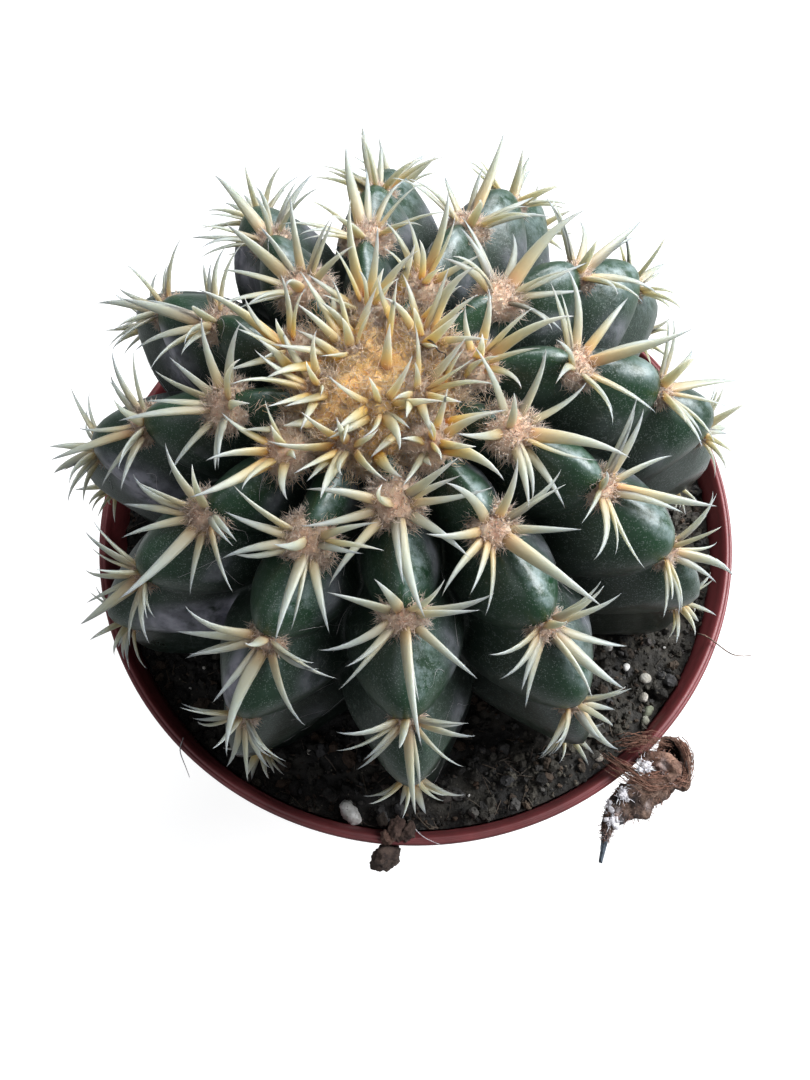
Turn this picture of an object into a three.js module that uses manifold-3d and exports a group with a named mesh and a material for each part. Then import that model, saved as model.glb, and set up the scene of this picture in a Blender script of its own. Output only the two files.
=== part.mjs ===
// A potted echinocactus: a round nursery pot, its soil, the ribbed stem that stands in it,
// the woolly areoles with their spines, the woolly crown with its young spines, and a dried
// flower that has caught on the rim.
// Millimetres, +Z up, origin at the centre of the pot's base, the front towards -Y.

import * as THREE from 'three';
import { mergeVertices } from 'three/addons/utils/BufferGeometryUtils.js';
import Module from 'manifold-3d';

const wasm = await Module();
wasm.setup();

const RAD = Math.PI / 180;
const GAP = 0.35; // between pieces that touch
const STEM_GAP = 0.42; // the same round the stem, measured away from its middle

// Pot
const RIM_RADIUS = 60;
const POT_HEIGHT = 95;
const BASE_RADIUS = 43;
const BASE_ROUND = 1.5;
const WALL = 1.4;
const FLOOR = 2.2;
const LIP_WIDTH = 1.9;
const LIP_DEPTH = 2.4;
const LIP_EDGE = 0.4;
const COLLAR_DEPTH = 14;
const COLLAR_TAPER = 0.5;
const COLLAR_STEP = 1.2;
const POT_SIDES = 48;
const DRAINS = 6;
const DRAIN_RADIUS = 4;
const DRAIN_SIDES = 10;
const DRAIN_CIRCLE = 30;

// Soil
const SOIL_DEPTH = 6; // from the rim down to the soil
const SOIL_TILT = 1.6; // it lies higher at the front right
const SOIL_HIGH_SIDE = -40 * RAD;
const SOIL_RINGS = [54, 49, 44, 39];
const SOIL_BUMP = 0.7;

// Stem: a squat superellipse with ribs, each rib notched into tubercles by its areoles
const STEM_RADIUS = 50.6;
const STEM_RISE = 39.9;
const STEM_POWER = 0.87;
const STEM_CENTRE = new THREE.Vector3(-2.5, 0.8, POT_HEIGHT + 10.1);
const STEM_LEAN_X = 5.7 * RAD;
const STEM_LEAN_Y = -4.3 * RAD;
const RIBS = 12;
const FIRST_RIB = -88.7 * RAD;
const RIB_CROWDING = 5 * RAD; // how far the ribs at the back left have closed up
const OPEN_SIDE = 1.2; // the rib round which they stand furthest apart
const RIB_TWIST = 9.5 * RAD;
const FURROW = 0.22;
const LOW_FURROW = 0.27;
const FURROW_START = { from: 89, to: 64 }; // the furrows deepen between these levels, in degrees
const ROUND_RIB = 2.6; // the power that rounds a tubercle across
const NOTCH_RIB = 1.8; // the same at its areoles
const SHARP_RIB = 1.35; // and near the soil, where the ribs narrow
const RIBS_ROUNDED = { from: 5, to: 45 };
const HUMP = 0.07;
const HUMP_SKEW = 1.6;
const HUMP_POWER = 0.75;
const HUMP_START = { from: 89, to: 70 };
const HUMP_END = { from: -38, to: -18 };
const FURROW_SWAY = 0.07;
const RIB_STEPS = [0, 1 / 3, 2 / 3];
const STEM_TOP = 88;
const STEM_LOW = -46;
const LEVELS_PER_AREOLE = 4;
const FOOT_DROP = 3.5;
const FOOT_SHARE = 0.72;

// Areoles: one spiral sets the level of each, counted in spacings below the crown
const SPIRAL_START = 73.6;
const SPIRAL_STEP = 15.2;
const SPIRAL_GROWTH = 1.95;
const LEVELS = 4;
const BURIED = 2.5; // an areole nearer to the soil than this has withered away
const AREOLE_TIP = 12 * RAD; // how far an areole tips down its rib
const SLOPE_STEP = 0.5; // degrees to either side of an areole that give the way down the rib
const PAD = { side: 2.9, along: 3.4, height: 1.9 };
const PAD_SIDES = 5;
const PAD_ROWS = 3;
const PAD_STUB = 0.1;

// Spines of a grown areole: turn is counted from the way down the rib, lift from the skin
const SPINES = [
  { turn: 8, lift: 40, length: 15, width: 2 },
  { turn: 176, lift: 36, length: 11.5, width: 1.6 },
  { turn: -42, lift: 20, length: 11.5, width: 1.4 },
  { turn: 50, lift: 20, length: 11.5, width: 1.4 },
  { turn: -88, lift: 20, length: 11, width: 1.4 },
  { turn: 97, lift: 20, length: 11.5, width: 1.4 },
  { turn: -124, lift: 26, length: 11, width: 1.4 },
  { turn: 130, lift: 26, length: 11, width: 1.4 },
];
const YOUNG_SPINES = [
  { turn: 5, lift: 52, length: 13, width: 1.8 },
  { turn: -70, lift: 40, length: 9.5, width: 1.4 },
  { turn: 75, lift: 40, length: 9.5, width: 1.4 },
  { turn: 180, lift: 72, length: 8.5, width: 1.4 },
];
const TURN_WOBBLE = 9;
const LIFT_WOBBLE = 5;
const LENGTH_WOBBLE = 0.1;
const LIFT_DRAW = 20; // which draw a spine's lift uses, and which its length
const LENGTH_DRAW = 40;
const LOW_LENGTH = 0.45; // the lowest spines are about half as long
const LOW_WIDTH = 0.75;
const LOW_SPINES = { from: -25, to: 66 };
const STEEPEST = 86;
const SPINE_SIDES = 3;
const SPINE_FULLNESS = 0.66; // from the middle of a spine to its corners, as a share of its width
const SPINE_FLATNESS = 0.62;
const ROOT_OUT = 0.9; // roots start inside the wool, spread round its middle
const ROOT_UP = 0.7;
const SPINE_GAP = 0.5;
const SKIN_GAP = 0.7;
const SPINE_CHECKS = [0.35, 0.6, 0.8, 1]; // places along a spine where it must stand clear
const HALF_WIDTH = 0.5;
const CROSSING_WIDTH = 0.4; // spines pass each other beyond their widest part
const RAISES = [0, 6, 12, 18, 26, 34, 42];
const ASIDES = [0, 8, -8, 16, -16];
const SHRINKS = [1, 0.88, 0.76, 0.64];

// Crown
const CROWN_LUMP = { radius: 12.6, height: 4.4, centre: 38.5 };
const CROWN_SIDES = 14;
const CROWN_ROWS = 6;

// Dried flower: it hooks over the rim at the front right; places from the middle of the rim's plane
const FLOWER_PATH = [
  { x: 34, y: -46, z: 0.6, radius: 1 },
  { x: 38, y: -47.5, z: 1.4, radius: 1.9 },
  { x: 43, y: -48, z: 1.6, radius: 2.8 },
  { x: 43, y: -52, z: 0.4, radius: 3.3 },
  { x: 37.8, y: -55.3, z: -1, radius: 2.8 },
  { x: 32.8, y: -58, z: -1.8, radius: 2.2 },
  { x: 29.9, y: -60.8, z: -2.2, radius: 1.2 },
];
const FLOWER_TIP = { x: 27.8, y: -64.5, z: -2.4 };
const FLOWER_SIDES = 7;
const FLOWER_LUMPS = 0.15;

// Which fixed draws the soil and the flower use
const SOIL_DRAW = 1;
const FLOWER_DRAW = 3;

const WELD = 1e-4; // corners nearer than this are one
const PARALLEL = 1e-9;

const COLOURS = {
  pot: { color: 0x9c4a47, roughness: 0.45, metalness: 0 },
  soil: { color: 0x2e2622, roughness: 1, metalness: 0 },
  stem: { color: 0x24402f, roughness: 0.5, metalness: 0 },
  wool: { color: 0xc9a27a, roughness: 1, metalness: 0 },
  spines: { color: 0xe6dcb4, roughness: 0.55, metalness: 0 },
  flower: { color: 0x5b3f33, roughness: 1, metalness: 0 },
};

// Helpers

const vec = (x, y, z) => new THREE.Vector3(x, y, z);
const clamp01 = (x) => Math.min(1, Math.max(0, x));
const fade = (from, to, x) => {
  const s = clamp01((x - from) / (to - from));
  return s * s * (3 - 2 * s);
};
const fraction = (x) => x - Math.floor(x);

// A fixed draw between -1 and 1 for each set of three numbers
const draw = (a, b, c) => 2 * fraction(Math.sin(a * 12.9898 + b * 78.233 + c * 37.719) * 43758.5453) - 1;

function solidOf(geometry) {
  const plain = geometry.clone();
  plain.deleteAttribute('normal');
  plain.deleteAttribute('uv');
  const merged = mergeVertices(plain, WELD);
  const corners = merged.index.array;
  const kept = [];
  for (let i = 0; i < corners.length; i += 3) {
    const [a, b, c] = [corners[i], corners[i + 1], corners[i + 2]];
    if (a !== b && b !== c && c !== a) {
      kept.push(a, b, c);
    }
  }
  const mesh = new wasm.Mesh({
    numProp: 3,
    vertProperties: new Float32Array(merged.attributes.position.array),
    triVerts: new Uint32Array(kept),
  });
  return new wasm.Manifold(mesh);
}

function geometryOf(solid) {
  const mesh = solid.getMesh();
  const geometry = new THREE.BufferGeometry();
  geometry.setAttribute('position', new THREE.BufferAttribute(mesh.vertProperties, 3));
  geometry.setIndex(new THREE.BufferAttribute(mesh.triVerts, 1));
  return geometry;
}

function largestPiece(solid) {
  const pieces = solid.decompose();
  return pieces.reduce((best, piece) => (piece.volume() > best.volume() ? piece : best));
}

// Closes a stack of rings, each counter-clockwise seen from its end, with a point at both ends
function closedStack(rings, start, end) {
  const count = rings[0].length;
  const points = [start, ...rings.flat(), end];
  const index = [];
  for (let i = 0; i < count; i += 1) {
    const next = (i + 1) % count;
    index.push(0, 1 + next, 1 + i);
    for (let j = 0; j + 1 < rings.length; j += 1) {
      const low = 1 + j * count;
      const high = low + count;
      index.push(low + i, low + next, high + next, low + i, high + next, high + i);
    }
    const last = 1 + (rings.length - 1) * count;
    index.push(last + i, last + next, points.length - 1);
  }
  const geometry = new THREE.BufferGeometry();
  geometry.setFromPoints(points);
  geometry.setIndex(index);
  return geometry;
}

// Moves every vertex out along its normal
function swollen(geometry, distance) {
  const bigger = geometry.clone();
  bigger.computeVertexNormals();
  const { position, normal } = bigger.attributes;
  for (let i = 0; i < position.count; i += 1) {
    const point = vec(0, 0, 0).fromBufferAttribute(position, i);
    point.addScaledVector(vec(0, 0, 0).fromBufferAttribute(normal, i), distance);
    position.setXYZ(i, point.x, point.y, point.z);
  }
  return bigger;
}

// Moves every vertex away from the origin, so that the result holds the whole of a shape round it
function spreadOut(geometry, distance) {
  const bigger = geometry.clone();
  const { position } = bigger.attributes;
  for (let i = 0; i < position.count; i += 1) {
    const point = vec(0, 0, 0).fromBufferAttribute(position, i);
    point.setLength(point.length() + distance);
    position.setXYZ(i, point.x, point.y, point.z);
  }
  return bigger;
}

// Pot

const COLLAR_FOOT = POT_HEIGHT - COLLAR_DEPTH;
const LIP_INSIDE = RIM_RADIUS - LIP_WIDTH;
const COLLAR_RADIUS = RIM_RADIUS - 2 * LIP_EDGE;
const COLLAR_FOOT_RADIUS = COLLAR_RADIUS - COLLAR_TAPER;
const NECK = COLLAR_FOOT - COLLAR_STEP;
const NECK_RADIUS = COLLAR_FOOT_RADIUS - COLLAR_STEP;

// The inner wall's radius at a height above the base
function innerRadius(z) {
  if (z >= COLLAR_FOOT) {
    return THREE.MathUtils.lerp(COLLAR_FOOT_RADIUS - WALL, LIP_INSIDE, (z - COLLAR_FOOT) / COLLAR_DEPTH);
  }
  return THREE.MathUtils.lerp(BASE_RADIUS, NECK_RADIUS, z / NECK) - WALL;
}

function potGeometry() {
  const profile = [
    [0, 0],
    [BASE_RADIUS - BASE_ROUND, 0],
    [BASE_RADIUS, BASE_ROUND],
    [NECK_RADIUS, NECK],
    [COLLAR_FOOT_RADIUS, COLLAR_FOOT],
    [COLLAR_RADIUS, POT_HEIGHT - LIP_DEPTH],
    [RIM_RADIUS, POT_HEIGHT - LIP_DEPTH + LIP_EDGE],
    [RIM_RADIUS, POT_HEIGHT - LIP_EDGE],
    [RIM_RADIUS - LIP_EDGE, POT_HEIGHT],
    [LIP_INSIDE + LIP_EDGE, POT_HEIGHT],
    [LIP_INSIDE, POT_HEIGHT - LIP_EDGE],
    [innerRadius(COLLAR_FOOT), COLLAR_FOOT],
    [innerRadius(NECK - WALL), NECK - WALL],
    [innerRadius(FLOOR), FLOOR],
    [0, FLOOR],
  ].map(([radius, z]) => new THREE.Vector2(radius, z));
  const lathe = new THREE.LatheGeometry(profile, POT_SIDES);
  lathe.rotateX(Math.PI / 2);
  let pot = solidOf(lathe);
  for (let i = 0; i < DRAINS; i += 1) {
    const angle = (i / DRAINS) * 2 * Math.PI;
    const drain = new THREE.CylinderGeometry(DRAIN_RADIUS, DRAIN_RADIUS, 3 * FLOOR, DRAIN_SIDES);
    drain.rotateX(Math.PI / 2);
    drain.translate(DRAIN_CIRCLE * Math.cos(angle), DRAIN_CIRCLE * Math.sin(angle), FLOOR / 2);
    pot = pot.subtract(solidOf(drain));
  }
  return geometryOf(pot);
}

// Stem

const spiralAngle = (t) => SPIRAL_START - SPIRAL_STEP * t - SPIRAL_GROWTH * t * t;

function spiralPlace(angle) {
  const root = SPIRAL_STEP ** 2 + 4 * SPIRAL_GROWTH * (SPIRAL_START - angle);
  return (Math.sqrt(root) - SPIRAL_STEP) / (2 * SPIRAL_GROWTH);
}

// The place on the spiral of a rib's first grown areole: every second rib is half a spacing lower
const firstPlace = (rib) => fraction(rib / RIBS + (rib % 2) / 2);

function ridgeAzimuth(rib, angle) {
  const crowding = RIB_CROWDING * Math.sin((Math.PI * (rib - OPEN_SIDE)) / RIBS) ** 4;
  const twist = RIB_TWIST * clamp01(angle / 90) ** 2;
  return FIRST_RIB + (rib * 2 * Math.PI) / RIBS - crowding + twist;
}

// How far a tubercle stands out, from 0 at each areole to 1 just above the next one down
function hump(rib, angle) {
  const along = fraction(spiralPlace(angle) - firstPlace(((rib % RIBS) + RIBS) % RIBS));
  const rise = Math.max(0, Math.sin(Math.PI * along ** HUMP_SKEW)) ** HUMP_POWER;
  return rise * fade(HUMP_START.from, HUMP_START.to, angle) * fade(HUMP_END.from, HUMP_END.to, angle);
}

// The furrow between a rib and the next sways away from the rib that stands out more there
function furrowAzimuth(rib, angle) {
  const here = ridgeAzimuth(rib, angle);
  const next = ridgeAzimuth((rib + 1) % RIBS, angle) + (rib === RIBS - 1 ? 2 * Math.PI : 0);
  const share = 0.5 + FURROW_SWAY * (hump(rib, angle) - hump(rib + 1, angle));
  return here + (next - here) * share;
}

// across runs from 0 on the rib's ridge to 1 in the furrow
function skinFactor(rib, angle, across) {
  const rounded = fade(RIBS_ROUNDED.from, RIBS_ROUNDED.to, angle);
  const furrow = THREE.MathUtils.lerp(LOW_FURROW, FURROW, rounded);
  const depth = furrow * fade(FURROW_START.from, FURROW_START.to, angle);
  const rise = hump(rib, angle);
  const power = THREE.MathUtils.lerp(SHARP_RIB, THREE.MathUtils.lerp(NOTCH_RIB, ROUND_RIB, rise), rounded);
  return 1 - depth * across ** power + HUMP * rise * (1 - across ** 2);
}

function stemPoint(azimuth, angle, factor) {
  const c = Math.cos(angle * RAD);
  const s = Math.sin(angle * RAD);
  const radius = factor * STEM_RADIUS * c ** STEM_POWER;
  const z = factor * STEM_RISE * Math.sign(s) * Math.abs(s) ** STEM_POWER;
  return vec(radius * Math.cos(azimuth), radius * Math.sin(azimuth), z);
}

// How far a rib's points shift along the spiral so that some fall on its areoles
function levelShift(rib) {
  const place = firstPlace(rib) * LEVELS_PER_AREOLE;
  return (place - Math.round(place)) / LEVELS_PER_AREOLE;
}

function stemRing(spiral) {
  const ring = [];
  for (let rib = 0; rib < RIBS; rib += 1) {
    const nextRib = (rib + 1) % RIBS;
    const shifts = [levelShift(rib), levelShift(nextRib)];
    const middle = (shifts[0] + shifts[1]) / 2;
    for (const across of RIB_STEPS) {
      const angle = spiralAngle(spiral + THREE.MathUtils.lerp(shifts[0], middle, across));
      const azimuth = THREE.MathUtils.lerp(ridgeAzimuth(rib, angle), furrowAzimuth(rib, angle), across);
      ring.push(stemPoint(azimuth, angle, skinFactor(rib, angle, across)));
    }
    for (const back of RIB_STEPS) {
      const angle = spiralAngle(spiral + THREE.MathUtils.lerp(middle, shifts[1], back));
      const ridge = ridgeAzimuth(nextRib, angle) + (nextRib === 0 ? 2 * Math.PI : 0);
      const azimuth = THREE.MathUtils.lerp(furrowAzimuth(rib, angle), ridge, back);
      ring.push(stemPoint(azimuth, angle, skinFactor(nextRib, angle, 1 - back)));
    }
  }
  return ring;
}

function stemGeometry() {
  const rings = [];
  const lowest = Math.floor(spiralPlace(STEM_LOW) * LEVELS_PER_AREOLE);
  const highest = Math.ceil(spiralPlace(STEM_TOP) * LEVELS_PER_AREOLE);
  for (let level = lowest; level >= highest; level -= 1) {
    rings.push(stemRing(level / LEVELS_PER_AREOLE));
  }
  const low = stemPoint(0, spiralAngle(lowest / LEVELS_PER_AREOLE), 1).z - FOOT_DROP;
  const foot = rings[0].map((point) => vec(FOOT_SHARE * point.x, FOOT_SHARE * point.y, low));
  return closedStack([foot, ...rings], vec(0, 0, low), stemPoint(0, 90, 1));
}

// Whether a point stands clear of the stem's skin by a distance
function clearOfStem(point, distance) {
  const azimuth = Math.atan2(point.y, point.x);
  const outward = Math.hypot(point.x, point.y) / STEM_RADIUS;
  const upward = Math.abs(point.z) / STEM_RISE;
  const power = 1 / STEM_POWER;
  const angle = (Math.atan2(upward ** power, outward ** power) * Math.sign(point.z)) / RAD;
  const factor = (outward ** (2 * power) + upward ** (2 * power)) ** (STEM_POWER / 2);
  for (let rib = 0; rib < RIBS; rib += 1) {
    const ridge = ridgeAzimuth(rib, angle);
    const turns = Math.round((ridge - azimuth) / (2 * Math.PI));
    const offset = azimuth + turns * 2 * Math.PI - ridge;
    const before = (rib + RIBS - 1) % RIBS;
    const lowSide = furrowAzimuth(before, angle) - (rib === 0 ? 2 * Math.PI : 0) - ridge;
    const highSide = furrowAzimuth(rib, angle) - ridge;
    if (offset >= lowSide && offset <= highSide) {
      const across = offset < 0 ? offset / lowSide : offset / highSide;
      return (factor - skinFactor(rib, angle, across)) * STEM_RISE > distance;
    }
  }
  return true;
}

// Soil

const SOIL_LEVEL = POT_HEIGHT - SOIL_DEPTH;
const SOIL_HIGHEST = SOIL_LEVEL + SOIL_TILT + SOIL_BUMP;

function soilTop(radius, number) {
  const azimuth = (number / POT_SIDES) * 2 * Math.PI;
  const tilt = (SOIL_TILT * radius * Math.cos(azimuth - SOIL_HIGH_SIDE)) / RIM_RADIUS;
  return SOIL_LEVEL + tilt + SOIL_BUMP * draw(number, radius, SOIL_DRAW);
}

function soilGeometry(hole) {
  const ringAt = (radius, height) => {
    const ring = [];
    for (let number = 0; number < POT_SIDES; number += 1) {
      const azimuth = (number / POT_SIDES) * 2 * Math.PI;
      ring.push(vec(radius * Math.cos(azimuth), radius * Math.sin(azimuth), height(number)));
    }
    return ring;
  };
  const floor = FLOOR + GAP;
  const neck = NECK - WALL;
  const lowest = SOIL_LEVEL - SOIL_TILT - SOIL_BUMP;
  const edge = innerRadius(lowest) - GAP;
  const rings = [
    ringAt(innerRadius(floor) - GAP, () => floor),
    ringAt(innerRadius(neck) - GAP, () => neck),
    ringAt(innerRadius(COLLAR_FOOT) - GAP, () => COLLAR_FOOT + GAP),
    ringAt(edge, (number) => soilTop(edge, number)),
  ];
  for (const radius of SOIL_RINGS) {
    rings.push(ringAt(radius, (number) => soilTop(radius, number)));
  }
  const block = closedStack(rings, vec(0, 0, floor), vec(0, 0, SOIL_LEVEL));
  return geometryOf(largestPiece(solidOf(block).subtract(hole)));
}

// Areoles and spines

// An areole's place and its own axes: out of the skin, down the rib, and across it
function areoleFrame(rib, level) {
  const angle = spiralAngle(firstPlace(rib) + level);
  const azimuth = ridgeAzimuth(rib, angle);
  const place = stemPoint(azimuth, angle, 1);
  const above = stemPoint(azimuth, angle + SLOPE_STEP, 1);
  const down = stemPoint(azimuth, angle - SLOPE_STEP, 1).sub(above).normalize();
  const across = vec(-Math.sin(azimuth), Math.cos(azimuth), 0);
  const out = vec(0, 0, 0).crossVectors(down, across).normalize();
  if (out.dot(place) < 0) {
    out.negate();
  }
  const tipped = out.clone().multiplyScalar(Math.cos(AREOLE_TIP)).addScaledVector(down, Math.sin(AREOLE_TIP));
  const fall = down.clone().addScaledVector(tipped, -down.dot(tipped)).normalize();
  const node = level < 0 ? 'crown' : `areole_${String(rib + 1).padStart(2, '0')}_${level + 1}`;
  return { node, rib, level, angle, place, out: tipped.normalize(), down: fall, across };
}

function spineDirection(frame, turn, lift) {
  const flat = frame.down.clone().multiplyScalar(Math.cos(turn * RAD));
  flat.addScaledVector(frame.across, Math.sin(turn * RAD));
  return flat.multiplyScalar(Math.cos(lift * RAD)).addScaledVector(frame.out, Math.sin(lift * RAD));
}

function spineLine(frame, turn, lift, length) {
  const direction = spineDirection(frame, turn, lift);
  const root = frame.place.clone().addScaledVector(frame.out, ROOT_UP);
  root.addScaledVector(spineDirection(frame, turn, 0), ROOT_OUT * Math.cos(lift * RAD));
  return { root, reach: direction.multiplyScalar(length) };
}

function spineGeometry(line, frame, width) {
  const side = vec(0, 0, 0).crossVectors(line.reach, frame.out).normalize();
  const top = vec(0, 0, 0).crossVectors(side, line.reach).normalize();
  const ring = [];
  for (let i = 0; i < SPINE_SIDES; i += 1) {
    const angle = (i / SPINE_SIDES + 0.25) * 2 * Math.PI;
    const corner = line.root.clone().addScaledVector(side, -SPINE_FULLNESS * width * Math.cos(angle));
    ring.push(corner.addScaledVector(top, SPINE_FULLNESS * SPINE_FLATNESS * width * Math.sin(angle)));
  }
  return closedStack([ring], line.root, line.root.clone().add(line.reach));
}

function padGeometry(frame) {
  const pad = new THREE.SphereGeometry(1, PAD_SIDES, PAD_ROWS);
  pad.rotateX(Math.PI / 2);
  const axes = new THREE.Matrix4().makeBasis(
    frame.down.clone().multiplyScalar(PAD.along),
    vec(0, 0, 0).crossVectors(frame.out, frame.down).multiplyScalar(PAD.side),
    frame.out.clone().multiplyScalar(PAD.height),
  );
  axes.setPosition(frame.place);
  return pad.applyMatrix4(axes);
}

// Shortest distance between two stretches, each a point and the way from it to the other end
function stretchDistance(one, other) {
  const w = one.root.clone().sub(other.root);
  const [u, v] = [one.reach, other.reach];
  const [a, b, c, d, e] = [u.dot(u), u.dot(v), v.dot(v), u.dot(w), v.dot(w)];
  const spread = a * c - b * b;
  let s = spread > PARALLEL ? clamp01((b * e - c * d) / spread) : 0;
  const t = clamp01((b * s + e) / c);
  s = clamp01((b * t - d) / a);
  return w.addScaledVector(u, s).addScaledVector(v, -t).length();
}

const stemPlace = new THREE.Matrix4().compose(
  STEM_CENTRE,
  new THREE.Quaternion().setFromEuler(new THREE.Euler(STEM_LEAN_X, STEM_LEAN_Y, 0)),
  vec(1, 1, 1),
);

// Whether a point keeps clear of the pot's rim, its wall and the soil
function clearOfPot(point, distance) {
  const placed = point.clone().applyMatrix4(stemPlace);
  if (placed.z > POT_HEIGHT + distance) {
    return true;
  }
  const inside = Math.hypot(placed.x, placed.y) < innerRadius(SOIL_LEVEL) - distance;
  return inside && placed.z > SOIL_HIGHEST + distance;
}

function clearOfCrown(point, distance) {
  const flat = Math.hypot(point.x, point.y) / (CROWN_LUMP.radius + distance);
  return Math.hypot(flat, (point.z - CROWN_LUMP.centre) / (CROWN_LUMP.height + distance)) > 1;
}

const pads = [];
const spines = [];

function spineFits(line, frame) {
  for (const share of SPINE_CHECKS) {
    const point = line.root.clone().addScaledVector(line.reach, share);
    const room = HALF_WIDTH * line.width * (1 - share) + SKIN_GAP;
    if (!clearOfStem(point, room) || !clearOfPot(point, room)) {
      return false;
    }
    if (frame.level >= 0 && !clearOfCrown(point, room)) {
      return false;
    }
  }
  const reach = CROSSING_WIDTH * line.width + SPINE_GAP;
  const nearPad = (pad) => stretchDistance(line, pad) < PAD.along + reach;
  if (pads.some((pad) => pad.node !== line.node && nearPad(pad))) {
    return false;
  }
  const nearSpine = (other) => stretchDistance(line, other) < CROSSING_WIDTH * other.width + reach;
  return !spines.some((other) => other.node !== line.node && nearSpine(other));
}

// Tries the wanted way first, then bends the spine up and aside until it stands clear
function placeSpine(frame, wanted, number) {
  const drawn = (which) => draw(frame.rib, frame.level, number + which);
  const upward = fade(LOW_SPINES.from, LOW_SPINES.to, frame.angle);
  const turn = wanted.turn + TURN_WOBBLE * drawn(0);
  const lift = wanted.lift + LIFT_WOBBLE * drawn(LIFT_DRAW);
  const usual = wanted.length * THREE.MathUtils.lerp(LOW_LENGTH, 1, upward);
  const length = usual * (1 + LENGTH_WOBBLE * drawn(LENGTH_DRAW));
  const width = wanted.width * THREE.MathUtils.lerp(LOW_WIDTH, 1, upward);
  for (const shrink of SHRINKS) {
    for (const raise of RAISES) {
      for (const aside of ASIDES) {
        const line = spineLine(frame, turn + aside, Math.min(STEEPEST, lift + raise), shrink * length);
        Object.assign(line, { width, node: frame.node });
        if (spineFits(line, frame)) {
          spines.push(line);
          return spineGeometry(line, frame, width);
        }
      }
    }
  }
  return null;
}

function padAndSpines(frame, pattern) {
  let solid = solidOf(padGeometry(frame));
  pattern.forEach((wanted, number) => {
    const spine = placeSpine(frame, wanted, number);
    if (spine) {
      solid = solid.add(solidOf(spine));
    }
  });
  return solid;
}

// Dried flower

function flowerGeometry() {
  const middles = FLOWER_PATH.map(({ x, y, z }) => vec(x, y, POT_HEIGHT + z));
  const tip = vec(FLOWER_TIP.x, FLOWER_TIP.y, POT_HEIGHT + FLOWER_TIP.z);
  const path = [...middles, tip];
  const rings = middles.map((middle, number) => {
    const along = path[number + 1].clone().sub(path[Math.max(0, number - 1)]).normalize();
    const side = vec(0, 0, 0).crossVectors(along, vec(0, 0, 1)).normalize();
    const top = vec(0, 0, 0).crossVectors(along, side);
    const ring = [];
    for (let i = 0; i < FLOWER_SIDES; i += 1) {
      const angle = (i / FLOWER_SIDES) * 2 * Math.PI;
      const radius = FLOWER_PATH[number].radius * (1 + FLOWER_LUMPS * draw(number, i, FLOWER_DRAW));
      const corner = middle.clone().addScaledVector(side, radius * Math.cos(angle));
      ring.push(corner.addScaledVector(top, radius * Math.sin(angle)));
    }
    return ring;
  });
  return closedStack(rings, middles[0], tip);
}

// Assembly

function namedMesh(name, geometry, material) {
  const mesh = new THREE.Mesh(geometry, new THREE.MeshStandardMaterial(material));
  mesh.name = name;
  return mesh;
}

const group = new THREE.Group();
const plant = new THREE.Group();
plant.applyMatrix4(stemPlace);
group.add(plant);

const stem = stemGeometry();
const stemClearance = solidOf(spreadOut(stem, STEM_GAP));
const soilHole = solidOf(spreadOut(stem, STEM_GAP).applyMatrix4(stemPlace));

const pot = potGeometry();
const potClearance = solidOf(swollen(pot, GAP));
const flower = largestPiece(solidOf(flowerGeometry()).subtract(potClearance));
group.add(namedMesh('pot', pot, COLOURS.pot));
group.add(namedMesh('dried_flower', geometryOf(flower), COLOURS.flower));
group.add(namedMesh('soil', soilGeometry(soilHole), COLOURS.soil));
plant.add(namedMesh('cactus_body', stem, COLOURS.stem));

const frames = [];
for (let level = -1; level < LEVELS; level += 1) {
  for (let rib = 0; rib < RIBS; rib += 1) {
    const frame = areoleFrame(rib, level);
    if (clearOfPot(frame.place, BURIED)) {
      frames.push(frame);
      pads.push({ node: frame.node, root: frame.place, reach: frame.out.clone().multiplyScalar(PAD_STUB) });
    }
  }
}

const lump = new THREE.SphereGeometry(1, CROWN_SIDES, CROWN_ROWS);
lump.rotateX(Math.PI / 2);
lump.scale(CROWN_LUMP.radius, CROWN_LUMP.radius, CROWN_LUMP.height);
lump.translate(0, 0, CROWN_LUMP.centre);
let crown = solidOf(lump);
for (const frame of frames.filter((one) => one.level < 0)) {
  crown = crown.add(padAndSpines(frame, YOUNG_SPINES));
}
crown = largestPiece(crown.subtract(stemClearance));
plant.add(namedMesh('crown', geometryOf(crown), COLOURS.wool));

for (const frame of frames.filter((one) => one.level >= 0)) {
  const solid = largestPiece(padAndSpines(frame, SPINES).subtract(stemClearance));
  plant.add(namedMesh(frame.node, geometryOf(solid), COLOURS.spines));
}

export default group;
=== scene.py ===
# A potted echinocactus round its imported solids: a terracotta-red nursery pot, dark soil with crumbs and
# pale grains, the ribbed green stem, wool and spines on its areoles, the woolly crown and a few dried bits.
# Shapes are worked out in millimetres; what grows on the stem uses the stem's own axes first.

import itertools
import math

import bpy
import numpy as np
from mathutils import Matrix, Vector, noise


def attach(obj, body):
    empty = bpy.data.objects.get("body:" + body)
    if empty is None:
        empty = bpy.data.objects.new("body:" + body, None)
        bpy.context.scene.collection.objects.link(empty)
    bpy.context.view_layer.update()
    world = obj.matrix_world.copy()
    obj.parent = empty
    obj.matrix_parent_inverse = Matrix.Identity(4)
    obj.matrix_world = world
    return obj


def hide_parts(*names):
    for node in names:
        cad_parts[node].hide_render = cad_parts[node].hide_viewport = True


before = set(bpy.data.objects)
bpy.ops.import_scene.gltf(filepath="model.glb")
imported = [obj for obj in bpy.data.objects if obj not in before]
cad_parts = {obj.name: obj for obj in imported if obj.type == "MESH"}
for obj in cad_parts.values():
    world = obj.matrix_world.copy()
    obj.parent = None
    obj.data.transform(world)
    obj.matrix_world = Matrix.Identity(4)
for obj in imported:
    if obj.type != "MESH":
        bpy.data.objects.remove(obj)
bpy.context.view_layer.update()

MM = 0.001
TURN = 2 * math.pi
GAP = 0.35  # between pieces that touch
rng = np.random.default_rng(20)

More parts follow.
